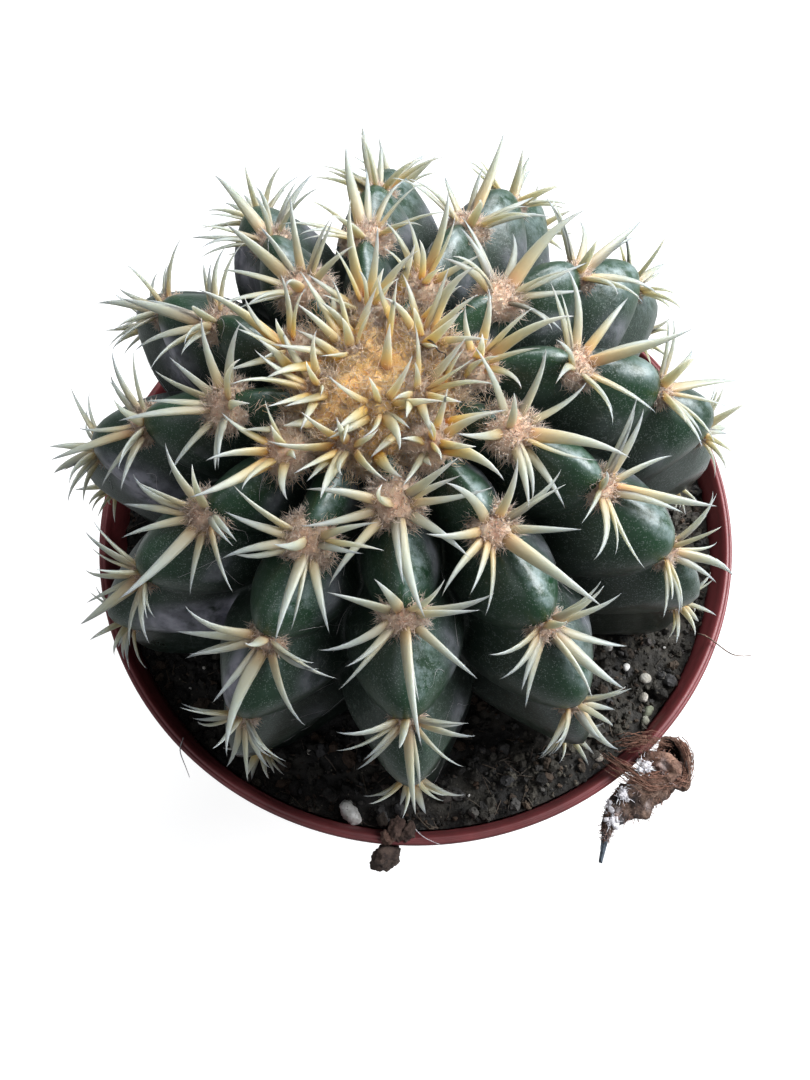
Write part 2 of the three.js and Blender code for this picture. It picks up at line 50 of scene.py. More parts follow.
# Pot
RIM_RADIUS = 60.0
POT_HEIGHT = 95.0
BASE_RADIUS = 43.0
BASE_ROUND = 1.5
BASE_RECESS = 0.35
WALL = 1.4
FLOOR = 2.2
LIP_WIDTH = 1.9
LIP_DEPTH = 2.4
LIP_EDGE = 0.4
LIP_INSIDE = RIM_RADIUS - LIP_WIDTH
LIP_SECTION = [
    (0.05, 2.05), (0, 1.8), (0, 1.35), (0.22, 1.2), (0, 1.05), (0, 0.5),
    (0.18, 0.14), (0.45, 0), (0.62, 0.03), (0.74, 0.22), (0.88, 0.05), (1.15, 0.06),
    (1.32, 0.2), (1.6, 0.7), (1.9, 1.3), (2.0, 2.6), (2.25, 2.9),
]  # how far each point of the lip lies inside the rim and below its top
GROOVE_HALF = 0.35
GROOVE_DEPTH = 0.28
COLLAR_FOOT = POT_HEIGHT - 14.0
COLLAR_RADIUS = RIM_RADIUS - 2 * LIP_EDGE
COLLAR_FOOT_RADIUS = COLLAR_RADIUS - 0.5
NECK = COLLAR_FOOT - 1.2
NECK_RADIUS = COLLAR_FOOT_RADIUS - 1.2
POT_SIDES = 256
DRAINS = 6
DRAIN_RADIUS = 4.0
DRAIN_CIRCLE = 30.0

# Soil
SOIL_LEVEL = POT_HEIGHT - 6.0
SOIL_TILT = 1.6
SOIL_HIGH_SIDE = math.radians(-40)
SOIL_HIGHEST = SOIL_LEVEL + SOIL_TILT + 0.7
SOIL_COLUMNS = 320
# Painted light: the soil is painted lighter and greyer towards this side, the lit one
PAINTED_LIGHT_SIDE = math.radians(4)
HEAP_SIDE = math.radians(-64)
HEAP_REACH = math.radians(17)
HEAP_HEIGHT = 2.8
HEAP_START = 45
HEAP_FULL = 55
HEAP_CRUMBS_FULL = 51
SOIL_LUMPS = (7.0, 1.1, 3)
SOIL_CRUMBLE = (1.7, 1.0, 3)
SOIL_EDGE = (52, 57.5)
EDGE_DROP = 0.8
BED_INSIDE = 36
BED_RINGS = 50
BED_MIDDLE = 20.0  # flat and hidden under the stem
BED_TONE = (5.0, 0.3)
BED_GREY = (6.0, 0.5)
PLACE_TRIES = 6
PLACES_INSIDE = 34
PLACES_EDGE = 0.6
CRUMBS = ((1, 3600, 0.2, 0.6, 0.22), (2, 850, 0.5, 1.35, 0.2))  # detail, number, sizes, roughness
CRUMB_VARIETY = (0.7, 1.1)
CRUMB_SINK = (-0.1, 0.75)
CRUMB_TONE = (0.05, 0.16)
HEAP_TONE = (-0.15, 0.55)
WARM_CRUMBS = 0.25
GREY_CRUMBS = 0.15
LUMP_STRETCH = (0.65, 1.2)
BULGE_LIMIT = 1.6
STONES = [
    (-12.7, -54.2, 2.0, 0.1, 0.0),
    (34.8, -26.7, 0.9, 0.3, 0.0),
    (38.0, -30.5, 0.75, 0.2, 0.0),
    (40.6, -32.8, 0.8, 0.5, 0.2),
    (39.8, -36.2, 0.85, 0.6, 0.1),
    (40.6, -38.6, 1.2, 0.4, 0.8),
    (39.7, -40.2, 0.8, 0.5, 0.6),
    (30.5, -46.5, 0.8, 0.7, 0.0),
]  # x, y, size, warmth, greenness
SMALL_STONES = 30
SMALL_STONE_SIZES = (0.25, 0.55)
SMALL_STONE_WARMTH = (0.1, 1)
STONE_RELIEF = (1.6, 0.32, 3)
PEAT_THREADS = 300
PEAT_STEPS = 5
PEAT_SLOPES = (-0.15, 0.5)
PEAT_LENGTHS = (1.5, 5.5)
PEAT_HALVES = (0.08, 0.2)
PEAT_BEND = 0.25
PEAT_LIFT = 0.4

# Stem
STEM_RADIUS = 50.6
STEM_RISE = 39.9
STEM_POWER = 0.87
STEM_CENTRE = np.array([-2.5, 0.8, POT_HEIGHT + 10.1])
STEM_LEAN_X = math.radians(5.7)
STEM_LEAN_Y = math.radians(-4.3)
RIBS = 12
FIRST_RIB = math.radians(-88.7)
RIB_CROWDING = math.radians(5)
OPEN_SIDE = 1.2
RIB_TWIST = math.radians(9.5)
FURROW = 0.22
LOW_FURROW = 0.27
FURROW_START = (89, 64)
FURROW_SWAY = 0.07
ROUND_RIB = 2.6
NOTCH_RIB = 1.8
SHARP_RIB = 1.35
RIBS_ROUNDED = (5, 45)
HUMP = 0.07
HUMP_SKEW = 1.6
HUMP_POWER = 0.75
HUMP_START = (89, 70)
HUMP_END = (-38, -18)
FLANK = 0.035  # how much flatter the flanks are than the solid's
STEM_TOP = 88.0
STEM_LOW = -46.0
FOOT_DROP = 3.5
FOOT_SHARE = 0.72
STEM_ROWS = 144
RIB_COLUMNS = 13  # from a ridge to the next furrow
RELIEF = (15.0, 0.45)
FINE_RELIEF = (3.0, 0.09)
# Painted highlight: a pale blue-grey laid on the skin where it faces this way, towards the window lamp
HIGHLIGHT_WAY = (0.5, -0.08, 0.86)
HIGHLIGHT_FACING = (0.74, 0.98)
HIGHLIGHT_EDGE = (0.9, 0.2)
GREY_EDGE = (1.15, 0.5)
GREY_PATCHES = [
    (-170, 33, 9, 13),
    (160, 45, 6, 10),
    (128, 44, 4, 10),
    (-137, 28, 9, 8),
    (-120.5, 37, 2.5, 8),
    (118, 20, 10, 7),
    (-20, -12, 7, 5),
]  # azimuth, angle, reach round the stem and up it, in degrees
COBWEBS = 170
WEB_STEPS = 9
WEB_ANGLES = (-15, 68)
WEB_PLACES = (0.25, 0.95)
WEB_RISE = 9
WEB_SWING = 0.6
WEB_HALVES = (0.02, 0.038)

# Areoles and spines
SPIRAL_START = 73.6
SPIRAL_STEP = 15.2
SPIRAL_GROWTH = 1.95
LEVELS = 4
BURIED = 2.5
AREOLE_TIP = math.radians(12)
SLOPE_STEP = 0.5
PAD_ALONG = 3.4
PAD_STUB = 0.1
SPINES = [
    (8, 40, 15, 2.0),
    (176, 36, 11.5, 1.6),
    (-42, 20, 11.5, 1.4),
    (50, 20, 11.5, 1.4),
    (-88, 20, 11, 1.4),
    (97, 20, 11.5, 1.4),
    (-124, 26, 11, 1.4),
    (130, 26, 11, 1.4),
]  # turn from the way down the rib, lift off the skin, length, width
YOUNG_SPINES = [(5, 52, 13, 1.8), (-70, 40, 9.5, 1.4), (75, 40, 9.5, 1.4), (180, 72, 8.5, 1.4)]
EXTRA_SPINES = [(-2, 16, 11, 1.3), (-72, 28, 9.5, 1.2), (114, 24, 10, 1.2)]
EXTRA_YOUNG = [(-30, 58, 10, 1.3), (35, 60, 9.5, 1.3), (-120, 52, 8.5, 1.2), (125, 52, 8.5, 1.2)]
EXTRA_DRAW = 10
TURN_WOBBLE = 9
LIFT_WOBBLE = 5
LENGTH_WOBBLE = 0.1
LIFT_DRAW = 20
LENGTH_DRAW = 40
LOW_LENGTH = 0.45
LOW_WIDTH = 0.75
LOW_SPINES = (-25, 66)
STEEPEST = 86
ROOT_OUT = 0.9
ROOT_UP = 0.7
SPINE_GAP = 0.5
SKIN_GAP = 0.7
SPINE_CHECKS = np.array([0.35, 0.6, 0.8, 1.0])
HALF_WIDTH = 0.5
CROSSING_WIDTH = 0.4
RAISES = (0, 6, 12, 18, 26, 34, 42)
ASIDES = (0, 8, -8, 16, -16)
SHRINKS = (1, 0.88, 0.76, 0.64)
SPINE_STEPS = np.array([0, 0.1, 0.22, 0.36, 0.5, 0.64, 0.77, 0.88, 0.95, 1.0])
SPINE_SIDES = 8
SPINE_ARCH = (0.05, 0.15)
SPINE_ASIDE = 0.055
SPINE_BOW = 3.1
SPINE_TWIST = 0.5
SPINE_FLATNESS = 0.5
SPINE_HALF = 0.55  # of its width
WARMTH_LEVELS = (-2, -1, 0, 1, 2, 3)
WARMTH = (0.95, 0.7, 0.25, 0.1, 0.08, 0.35)  # how yellow the spines of each level are
WARMTH_SPREAD = 0.12
SPROUTS = 26
SPROUT_LIFTS = (22, 62)
SPROUT_LENGTHS = (5.5, 9.5)
SPROUT_WIDTHS = (1.2, 1.7)
GOLDEN_TURN = math.radians(137.5)

# Wool
CROWN_RADIUS = 12.6
CROWN_HEIGHT = 4.4
CROWN_CENTRE = 38.5
WOOL_ANGLES = (-15, 10, 34, 55, 73, 87)
WOOL_REACHES = (1.5, 2.1, 2.8, 3.4, 4.4, 3.7)  # how far the wool of an areole at each angle reaches
WOOL_WOBBLE = 0.1
WOOL_DRAW = 60
PAD_SHAPE = np.array([0.92, 0.86, 0.62])  # half its length and breadth, and its height
PAD_ROWS = 12
PAD_COLUMNS = 30
PAD_LUMPS = (1.2, 0.12)
PAD_FOOT = math.radians(108)
PAD_TOP = math.radians(8)
FELT_SHARE = 0.93  # of the pad, below its fibres
ROOT_SHARE = 0.96
FIBRE_FOOT = math.radians(98)
FIBRE_LENGTHS = (0.3, 0.85)
FIBRE_HALVES = (0.045, 0.08)
FIBRES = {-1: 780, 0: 900, 1: 700, 2: 540, 3: 320}
OCHRE_PADS = {-1: 0.15, 0: 0.05}
CROWN_ROWS = 22
CROWN_COLUMNS = 90
CROWN_SIZE = np.array([CROWN_RADIUS - 0.4, CROWN_RADIUS - 0.4, CROWN_HEIGHT - 0.5])
CROWN_FOOT = math.radians(100)
CROWN_TOP = math.radians(3)
CROWN_FIBRES = 6600
CROWN_FIBRE_FOOT = math.radians(94)
CROWN_LENGTHS = (1.0, 2.5)
CROWN_HALVES = (0.05, 0.085)
CROWN_LUMPS = (3.0, 1.3, 3)
FELT_BETWEEN = 400
FIBRE_BEND = 0.5
FIBRE_CURL = 0.14
FIBRE_WAVE = 5
FIBRE_TAPER = 0.9


# Numbers


def fade(start, end, x):
    s = np.clip((x - start) / (end - start), 0, 1)
    return s * s * (3 - 2 * s)


def mix(a, b, share):
    return a + (b - a) * share


def fraction(x):
    return x - np.floor(x)


def draw(a, b, c):
    """A fixed draw between -1 and 1 for three numbers, the same as the solids use."""
    return 2 * fraction(math.sin(a * 12.9898 + b * 78.233 + c * 37.719) * 43758.5453) - 1


def unit(vectors):
    vectors = np.asarray(vectors, float)
    return vectors / np.maximum(np.linalg.norm(vectors, axis=-1, keepdims=True), 1e-12)


def azimuth_of(points):
    return np.arctan2(points[..., 1], points[..., 0])


def flat_radius(points):
    return np.hypot(points[..., 0], points[..., 1])


def around(radius, turn, height):
    """Points at a radius and a turn round the upright axis."""
    return np.stack(np.broadcast_arrays(radius * np.cos(turn), radius * np.sin(turn), height), -1)


def turns(count):
    return np.arange(count) / count * TURN


def bumps(points, size, amount, octaves=2):
    """Smooth noise at each point, with features of the given size."""
    scaled = np.asarray(points) / size
    return amount * np.array([noise.fractal(Vector(p), 1.0, 2.0, octaves) for p in scaled])


def on_sphere(count):
    return unit(rng.normal(size=(count, 3)))


def some(count, share):
    """A strength for a share of the things, and none for the rest."""
    return np.where(rng.random(count) < share, rng.uniform(0.3, 1, count), 0)


# The stem's form, the same as in the solids


def spiral_angle(t):
    return SPIRAL_START - SPIRAL_STEP * t - SPIRAL_GROWTH * t * t


def spiral_place(angle):
    root = SPIRAL_STEP**2 + 4 * SPIRAL_GROWTH * (SPIRAL_START - angle)
    return (np.sqrt(root) - SPIRAL_STEP) / (2 * SPIRAL_GROWTH)


def first_place(rib):
    return fraction(rib / RIBS + (rib % 2) / 2)


def ridge_azimuth(rib, angle):
    crowding = RIB_CROWDING * math.sin(math.pi * (rib - OPEN_SIDE) / RIBS) ** 4
    twist = RIB_TWIST * np.clip(angle / 90, 0, 1) ** 2
    return FIRST_RIB + rib * TURN / RIBS - crowding + twist


def along_rib(rib, angle):
    return fraction(spiral_place(angle) - first_place(rib % RIBS))


def hump(rib, angle):
    rise = np.maximum(0, np.sin(math.pi * along_rib(rib, angle) ** HUMP_SKEW)) ** HUMP_POWER
    return rise * fade(*HUMP_START, angle) * fade(*HUMP_END, angle)


def furrow_azimuth(rib, angle):
    here = ridge_azimuth(rib, angle)
    after = ridge_azimuth((rib + 1) % RIBS, angle) + (TURN if rib == RIBS - 1 else 0)
    share = 0.5 + FURROW_SWAY * (hump(rib, angle) - hump(rib + 1, angle))
    return here + (after - here) * share


def skin_factor(rib, angle, across):
    rounded = fade(*RIBS_ROUNDED, angle)
    depth = mix(LOW_FURROW, FURROW, rounded) * fade(*FURROW_START, angle)
    rise = hump(rib, angle)
    power = mix(SHARP_RIB, mix(NOTCH_RIB, ROUND_RIB, rise), rounded)
    return 1 - depth * across**power + HUMP * rise * (1 - across**2)


def fine_factor(rib, angle, across):
    """The skin in full, with its flanks a little flatter."""
    return skin_factor(rib, angle, across) - FLANK * hump(rib, angle) * np.sin(math.pi * across) ** 2


def stem_point(azimuth, angle, factor):
    c = np.cos(np.radians(angle))
    s = np.sin(np.radians(angle))
    radius = factor * STEM_RADIUS * c**STEM_POWER
    height = factor * STEM_RISE * np.sign(s) * np.abs(s) ** STEM_POWER
    return around(radius, azimuth, height)


def skin_point(rib, angle, across, factor):
    """A point a share of the way across from a ridge to the next furrow."""
    azimuth = mix(ridge_azimuth(rib, angle), furrow_azimuth(rib, angle), across)
    return stem_point(azimuth, angle, factor(rib, angle, across))


LEAN = np.array(Matrix.Rotation(STEM_LEAN_X, 3, "X") @ Matrix.Rotation(STEM_LEAN_Y, 3, "Y"))


def stand(points):
    """From the stem's axes to the pot's."""
    return np.asarray(points) @ LEAN.T + STEM_CENTRE


def lean_back(points):
    """From the pot's axes to the stem's."""
    return (np.asarray(points) - STEM_CENTRE) @ LEAN


def skin_height(points):
    """How far each point, in the stem's axes, stands above the skin."""
    azimuth = azimuth_of(points)
    outward = flat_radius(points) / STEM_RADIUS
    upward = np.abs(points[:, 2]) / STEM_RISE
    power = 1 / STEM_POWER
    angle = np.degrees(np.arctan2(upward**power, outward**power) * np.sign(points[:, 2]))
    factor = (outward ** (2 * power) + upward ** (2 * power)) ** (STEM_POWER / 2)
    height = np.full(len(points), STEM_RISE)
    for rib in range(RIBS):
        ridge = ridge_azimuth(rib, angle)
        offset = azimuth + np.round((ridge - azimuth) / TURN) * TURN - ridge
        low_side = furrow_azimuth((rib - 1) % RIBS, angle) - (TURN if rib == 0 else 0) - ridge
        high_side = furrow_azimuth(rib, angle) - ridge
        across = np.where(offset < 0, offset / low_side, offset / high_side)
        here = (offset >= low_side) & (offset <= high_side)
        skin = skin_factor(rib, angle, np.clip(across, 0, 1))
        height = np.where(here, (factor - skin) * STEM_RISE, height)
    return height


def inner_radius(z):
    if z >= COLLAR_FOOT:
        return mix(COLLAR_FOOT_RADIUS - WALL, LIP_INSIDE, (z - COLLAR_FOOT) / (POT_HEIGHT - COLLAR_FOOT))
    return mix(BASE_RADIUS, NECK_RADIUS, z / NECK) - WALL


def clear_of_pot(points, distance):
    placed = stand(points)
    radius = flat_radius(placed)
    inside = (radius < inner_radius(SOIL_LEVEL) - distance) & (placed[:, 2] > SOIL_HIGHEST + distance)
    return (placed[:, 2] > POT_HEIGHT + distance) | inside


def clear_of_crown(points, distance):
    flat = flat_radius(points) / (CROWN_RADIUS + distance)
    return np.hypot(flat, (points[:, 2] - CROWN_CENTRE) / (CROWN_HEIGHT + distance)) > 1


# Areoles and where their spines go, by the same rule as the solids


def areole(rib, level):
    angle = spiral_angle(first_place(rib) + level)
    azimuth = ridge_azimuth(rib, angle)
    place = stem_point(azimuth, angle, 1.0)
    below = stem_point(azimuth, angle - SLOPE_STEP, 1.0)
    down = unit(below - stem_point(azimuth, angle + SLOPE_STEP, 1.0))
    across = np.array([-math.sin(azimuth), math.cos(azimuth), 0.0])
    out = unit(np.cross(down, across))
    if out @ place < 0:
        out = -out
    tipped = out * math.cos(AREOLE_TIP) + down * math.sin(AREOLE_TIP)
    fall = unit(down - tipped * (down @ tipped))
    node = "crown" if level < 0 else f"areole_{rib + 1:02d}_{level + 1}"
    axes = np.stack([fall, across, tipped])
    return dict(node=node, rib=rib, level=level, angle=angle, place=place, axes=axes)


def spine_way(spot, turn, lift):
    down, across, out = spot["axes"]
    flat = down * math.cos(math.radians(turn)) + across * math.sin(math.radians(turn))
    return flat * math.cos(math.radians(lift)) + out * math.sin(math.radians(lift))


class Thicket:
    """The pads and the spines placed so far, so that each new spine can be tested against them."""

    def __init__(self, spots):
        self.spines = []
        self.nodes = np.array([], dtype="U16")
        self.roots = np.zeros((0, 3))
        self.reaches = np.zeros((0, 3))
        self.rooms = np.zeros(0)
        for spot in spots:
            self.keep(spot["node"], spot["place"], spot["axes"][2] * PAD_STUB, PAD_ALONG)

    def keep(self, node, root, reach, room):
        self.nodes = np.append(self.nodes, node)
        self.roots = np.vstack([self.roots, root])
        self.reaches = np.vstack([self.reaches, reach])
        self.rooms = np.append(self.rooms, room)

    def distances(self, root, reach):
        w = root - self.roots
        a = reach @ reach
        b = self.reaches @ reach
        c = np.einsum("ij,ij->i", self.reaches, self.reaches)
        d = w @ reach
        e = np.einsum("ij,ij->i", self.reaches, w)
        spread = a * c - b * b
        safe = np.where(spread > 1e-9, spread, 1)
        s = np.where(spread > 1e-9, np.clip((b * e - c * d) / safe, 0, 1), 0)
        t = np.clip((b * s + e) / c, 0, 1)
        s = np.clip((b * t - d) / a, 0, 1)
        return np.linalg.norm(w + s[:, None] * reach - t[:, None] * self.reaches, axis=1)

    def fits(self, spot, root, reach, width):
        points = root + reach * SPINE_CHECKS[:, None]
        room = HALF_WIDTH * width * (1 - SPINE_CHECKS) + SKIN_GAP
        if np.any(skin_height(points) <= room) or not np.all(clear_of_pot(points, room)):
            return False
        if spot["level"] >= 0 and not np.all(clear_of_crown(points, room)):
            return False
        own_room = CROSSING_WIDTH * width + SPINE_GAP
        near = self.distances(root, reach) < self.rooms + own_room
        return not np.any(near & (self.nodes != spot["node"]))

    def place(self, spot, wanted, number):
        """Puts in a spine near the wanted way, turned, raised or shortened until it fits."""
        turn, lift, length, width = wanted
        rib, level = spot["rib"], spot["level"]
        upward = fade(*LOW_SPINES, spot["angle"])
        turn += TURN_WOBBLE * draw(rib, level, number)
        lift += LIFT_WOBBLE * draw(rib, level, number + LIFT_DRAW)
        length *= mix(LOW_LENGTH, 1, upward)
        length *= 1 + LENGTH_WOBBLE * draw(rib, level, number + LENGTH_DRAW)
        width *= mix(LOW_WIDTH, 1, upward)
        for shrink, rise, aside in itertools.product(SHRINKS, RAISES, ASIDES):
            steep = min(STEEPEST, lift + rise)
            root = spot["place"] + spot["axes"][2] * ROOT_UP
            root = root + spine_way(spot, turn + aside, 0) * ROOT_OUT * math.cos(math.radians(steep))
            reach = spine_way(spot, turn + aside, steep) * shrink * length
            if self.fits(spot, root, reach, width):
                self.spines.append(dict(spot=spot, root=root, reach=reach, width=width))
                self.keep(spot["node"], root, reach, CROSSING_WIDTH * width)
                return


# Meshes


def piece(name, shape, material, replaced=(), smooth=True):
    """An object from a shape, its points, faces and marks, in millimetres in the pot's axes."""
    points, faces, marks = shape
    mesh = bpy.data.meshes.new(name)
    mesh.from_pydata((np.asarray(points) * MM).tolist(), [], [list(face) for face in faces])
    mesh.polygons.foreach_set("use_smooth", [smooth] * len(mesh.polygons))
    if marks is not None:
        layer = mesh.attributes.new("marks", "FLOAT_COLOR", "POINT")
        layer.data.foreach_set("color", np.asarray(marks, np.float32).ravel())
    mesh.materials.append(material)
    mesh.update()
    made = bpy.data.objects.new(name, mesh)
    bpy.context.scene.collection.objects.link(made)
    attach(made, "root")
    if replaced:
        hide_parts(*replaced)
    return made


def marked(points, faces, *columns):
    """A shape with up to four marks a point: a column has one value, or one for each item or point."""
    marks = np.zeros((len(points), 4))
    for number, column in enumerate(columns):
        marks[:, number] = np.repeat(column, len(points) // np.size(column))
    return points, faces, marks


def joined(shapes):
    points, faces, marks = zip(*shapes)
    starts = np.cumsum([0, *map(len, points)])
    faces = [np.asarray(some) + start for some, start in zip(faces, starts)]
    return np.concatenate(points), np.concatenate(faces), np.concatenate(marks)


def circle(radius, height, count):
    return around(radius, turns(count), height)


def grid_faces(rows, columns):
    """Triangles between neighbouring rings of points; each ring runs counter-clockwise seen from its end."""
    steps = np.arange(columns)
    after = (steps + 1) % columns
    low = np.arange(rows - 1)[:, None] * columns
    high = low + columns
    first = np.stack([low + steps, low + after, high + after], -1)
    second = np.stack([low + steps, high + after, high + steps], -1)
    return np.concatenate([first.reshape(-1, 3), second.reshape(-1, 3)])


def capped_grid(rings, start, end):
    """Points and faces of a stack of rings closed by a point at both ends."""
    rows, columns = rings.shape[:2]
    points = np.concatenate([rings.reshape(-1, 3), [start], [end]])
    steps = np.arange(columns)
    after = (steps + 1) % columns
    first = np.full(columns, rows * columns)
    below = np.stack([first, after, steps], -1)
    top = (rows - 1) * columns
    above = np.stack([top + steps, top + after, first + 1], -1)
    return points, np.concatenate([grid_faces(rows, columns), below, above])


def tubes(paths, halves, sides, flatness, facing):
    """Closed tapering tubes, with each point's share of the way: each path ends in its tip, and its wide
    way lies across facing."""
    paths = np.asarray(paths, float)
    count, steps = paths.shape[:2]
    rings = steps - 1
    way = unit(np.gradient(paths, axis=1))
    side = unit(np.cross(way, np.broadcast_to(facing[:, None, :], way.shape)))
    top = np.cross(side, way)
    angles = turns(sides)
    wide = side[:, :rings, None, :] * np.cos(angles)[None, None, :, None]
    thick = top[:, :rings, None, :] * np.sin(angles)[None, None, :, None] * flatness
    ring_points = paths[:, :rings, None, :] + (wide + thick) * halves[:, :rings, None, None]
    points = np.concatenate([ring_points.reshape(count, rings * sides, 3), paths[:, -1:, :]], axis=1)
    per_tube = rings * sides + 1
    i = np.arange(sides)
    last = (rings - 1) * sides
    tip = np.stack([last + (i + 1) % sides, last + i, np.full(sides, per_tube - 1)], -1)
    k = np.arange(1, sides - 1)
    root = np.stack([np.zeros_like(k), k, k + 1], -1)
    one = np.concatenate([grid_faces(rings, sides)[:, ::-1], tip, root])
    faces = one[None] + (np.arange(count) * per_tube)[:, None, None]
    shares = np.append(np.repeat(np.linspace(0, 1, steps)[:rings], sides), 1.0)
    return points.reshape(-1, 3), faces.reshape(-1, 3), np.tile(shares, count)


def curly(roots, ways, lengths, halves, steps):
    """Fine fibres that curl away from the way they start in."""
    count = len(roots)
    s = np.linspace(0, 1, steps)[None, :, None]
    long = lengths[:, None, None]
    bend = on_sphere(count)[:, None] * long * FIBRE_BEND
    curl = on_sphere(count)[:, None] * long * FIBRE_CURL
    paths = roots[:, None] + ways[:, None] * long * s + bend * s**2 + curl * np.sin(FIBRE_WAVE * s)
    thickness = halves[:, None] * (1 - FIBRE_TAPER * np.linspace(0, 1, steps) ** 2)[None]
    return tubes(paths, thickness, 3, 1.0, on_sphere(count))


def smooth_path(points, count):
    """A curve through points, by Catmull-Rom."""
    points = np.asarray(points, float)
    padded = np.vstack([2 * points[0] - points[1], points, 2 * points[-1] - points[-2]])
    out = []
    for t in np.linspace(0, len(points) - 1, count):
        k = min(int(t), len(points) - 2)
        u = t - k
        p0, p1, p2, p3 = padded[k : k + 4]
        square = (2 * p0 - 5 * p1 + 4 * p2 - p3) * u**2
        cube = (3 * p1 - p0 - 3 * p2 + p3) * u**3
        out.append(0.5 * (2 * p1 + (p2 - p0) * u + square + cube))
    return np.array(out)


def lump_form(level):
    bpy.ops.mesh.primitive_ico_sphere_add(subdivisions=level, radius=1)
    form = bpy.context.object
    points = np.array([vertex.co[:] for vertex in form.data.vertices])
    faces = np.array([polygon.vertices[:] for polygon in form.data.polygons])
    bpy.data.objects.remove(form)
    return points, faces


def lumps_at(places, sizes, form, roughness):
    """Irregular lumps, each turned and stretched its own way, with the way out at each point."""
    base, faces = form
    count = len(places)
    axes = np.linalg.qr(rng.normal(size=(count, 3, 3)))[0]
    axes[:, :, 0] *= np.sign(np.linalg.det(axes))[:, None]
    stretch = rng.uniform(*LUMP_STRETCH, (count, 1, 3))
    bulges = 1 + roughness * rng.normal(size=(count, len(base), 1)).clip(-BULGE_LIMIT, BULGE_LIMIT)
    shapes = base[None] * bulges * stretch
    shapes = np.einsum("nij,nkj->nki", axes, shapes) * np.asarray(sizes)[:, None, None]
    points = (shapes + places[:, None, :]).reshape(-1, 3)
    all_faces = (faces[None] + (np.arange(count) * len(base))[:, None, None]).reshape(-1, 3)
    return points, all_faces, unit(points - np.repeat(places, len(base), 0))


# Materials


class Board:
    """The nodes of one material or group."""

    def __init__(self, tree):
        self.tree = tree

    def join(self, socket, value):
        if isinstance(value, bpy.types.NodeSocket):
            self.tree.links.new(value, socket)
        elif isinstance(value, (tuple, list)) and len(value) == 3 and socket.type == "RGBA":
            socket.default_value = (*value, 1)
        else:
            socket.default_value = value

    def add(self, kind, sockets=None, **settings):
        made = self.tree.nodes.new("ShaderNode" + kind)
        for name, value in settings.items():
            setattr(made, name, value)
        for name, value in (sockets or {}).items():
            self.join(made.inputs[name], value)
        return made

    def blend(self, share, first, second):
        made = self.add("Mix", data_type="RGBA")
        for number, value in ((0, share), (6, first), (7, second)):
            self.join(made.inputs[number], value)
        return made.outputs[2]

    def calc(self, way, first, second=0.0):
        made = self.add("Math", operation=way)
        self.join(made.inputs[0], first)
        self.join(made.inputs[1], second)
        return made.outputs[0]

    def times(self, first, second):
        return self.calc("MULTIPLY", first, second)

    def cover(self, colour, mask, strength, over):
        """The colour with another over it, up to a strength where the mask is full."""
        return self.blend(self.times(mask, strength), colour, over)

    def remap(self, value, low, high, to_low=0.0, to_high=1.0):
        sockets = {"Value": value, "From Min": low, "From Max": high, "To Min": to_low, "To Max": to_high}
        return self.add("MapRange", sockets).outputs[0]

    def ramp(self, share, stops):
        made = self.add("ValToRGB", {"Fac": share})
        elements = made.color_ramp.elements
        while len(elements) < len(stops):
            elements.new(0.5)
        for element, (position, colour) in zip(elements, stops):
            element.position = position
            element.color = (*colour, 1)
        return made.outputs["Color"]

    def place(self):
        return self.add("TexCoord").outputs["Object"]

    def noise(self, size, detail=4.0, roughness=0.55, stretch=None):
        """Noise with features of a size in millimetres."""
        where = self.place()
        if stretch:
            where = self.add("Mapping", {"Vector": where, "Scale": stretch}).outputs[0]
        sockets = {"Vector": where, "Scale": 1000 / size, "Detail": detail, "Roughness": roughness}
        return self.add("TexNoise", sockets).outputs["Fac"]

    def marks(self):
        made = self.add("Attribute", attribute_name="marks")
        split = self.add("SeparateColor", {"Color": made.outputs["Color"]})
        return *split.outputs[:3], made.outputs["Alpha"]

    def use(self, group, **sockets):
        made = self.tree.nodes.new("ShaderNodeGroup")
        made.node_tree = group
        for name, value in sockets.items():
            self.join(made.inputs[name], value)
        return made.outputs[0]


def effect(name, kind, **sockets):
    """An empty shader node group: its board, its inputs by name, and the socket its result goes to."""
    group = bpy.data.node_groups.new(name, "ShaderNodeTree")
    for socket_name, value in sockets.items():
        socket_type = "NodeSocketColor" if isinstance(value, tuple) else "NodeSocketFloat"
        made = group.interface.new_socket(socket_name, in_out="INPUT", socket_type=socket_type)
        made.default_value = value
    group.interface.new_socket(kind, in_out="OUTPUT", socket_type="NodeSocket" + kind)
    inputs = group.nodes.new("NodeGroupInput").outputs
    return Board(group), inputs, group.nodes.new("NodeGroupOutput").inputs[0]


def mottle_effect():
    """Two colours in soft patches."""
    grey = (0.5, 0.5, 0.5, 1)
    board, inputs, result = effect("mottle", "Color", First=grey, Second=grey, Scale=100.0, Edge=0.15)
    texture = board.add("TexNoise", {"Vector": board.place(), "Scale": inputs["Scale"], "Detail": 5.0})
    low = board.calc("SUBTRACT", 0.5, inputs["Edge"])
    high = board.calc("ADD", 0.5, inputs["Edge"])
    share = board.remap(texture.outputs["Fac"], low, high)
    board.join(result, board.blend(share, inputs["First"], inputs["Second"]))
    return board.tree


def speck_effect():
    """A mask of small round specks, on some of the cells."""
    board, inputs, result = effect("specks", "Float", Scale=1000.0, Size=0.2, Share=0.5)
    cells = board.add("TexVoronoi", {"Vector": board.place(), "Scale": inputs["Scale"], "Randomness": 1.0})
    split = board.add("SeparateColor", {"Color": cells.outputs["Color"]})
    near = board.calc("LESS_THAN", cells.outputs["Distance"], board.times(inputs["Size"], split.outputs[1]))
    chosen = board.calc("LESS_THAN", split.outputs[0], inputs["Share"])
    board.join(result, board.times(near, chosen))
    return board.tree


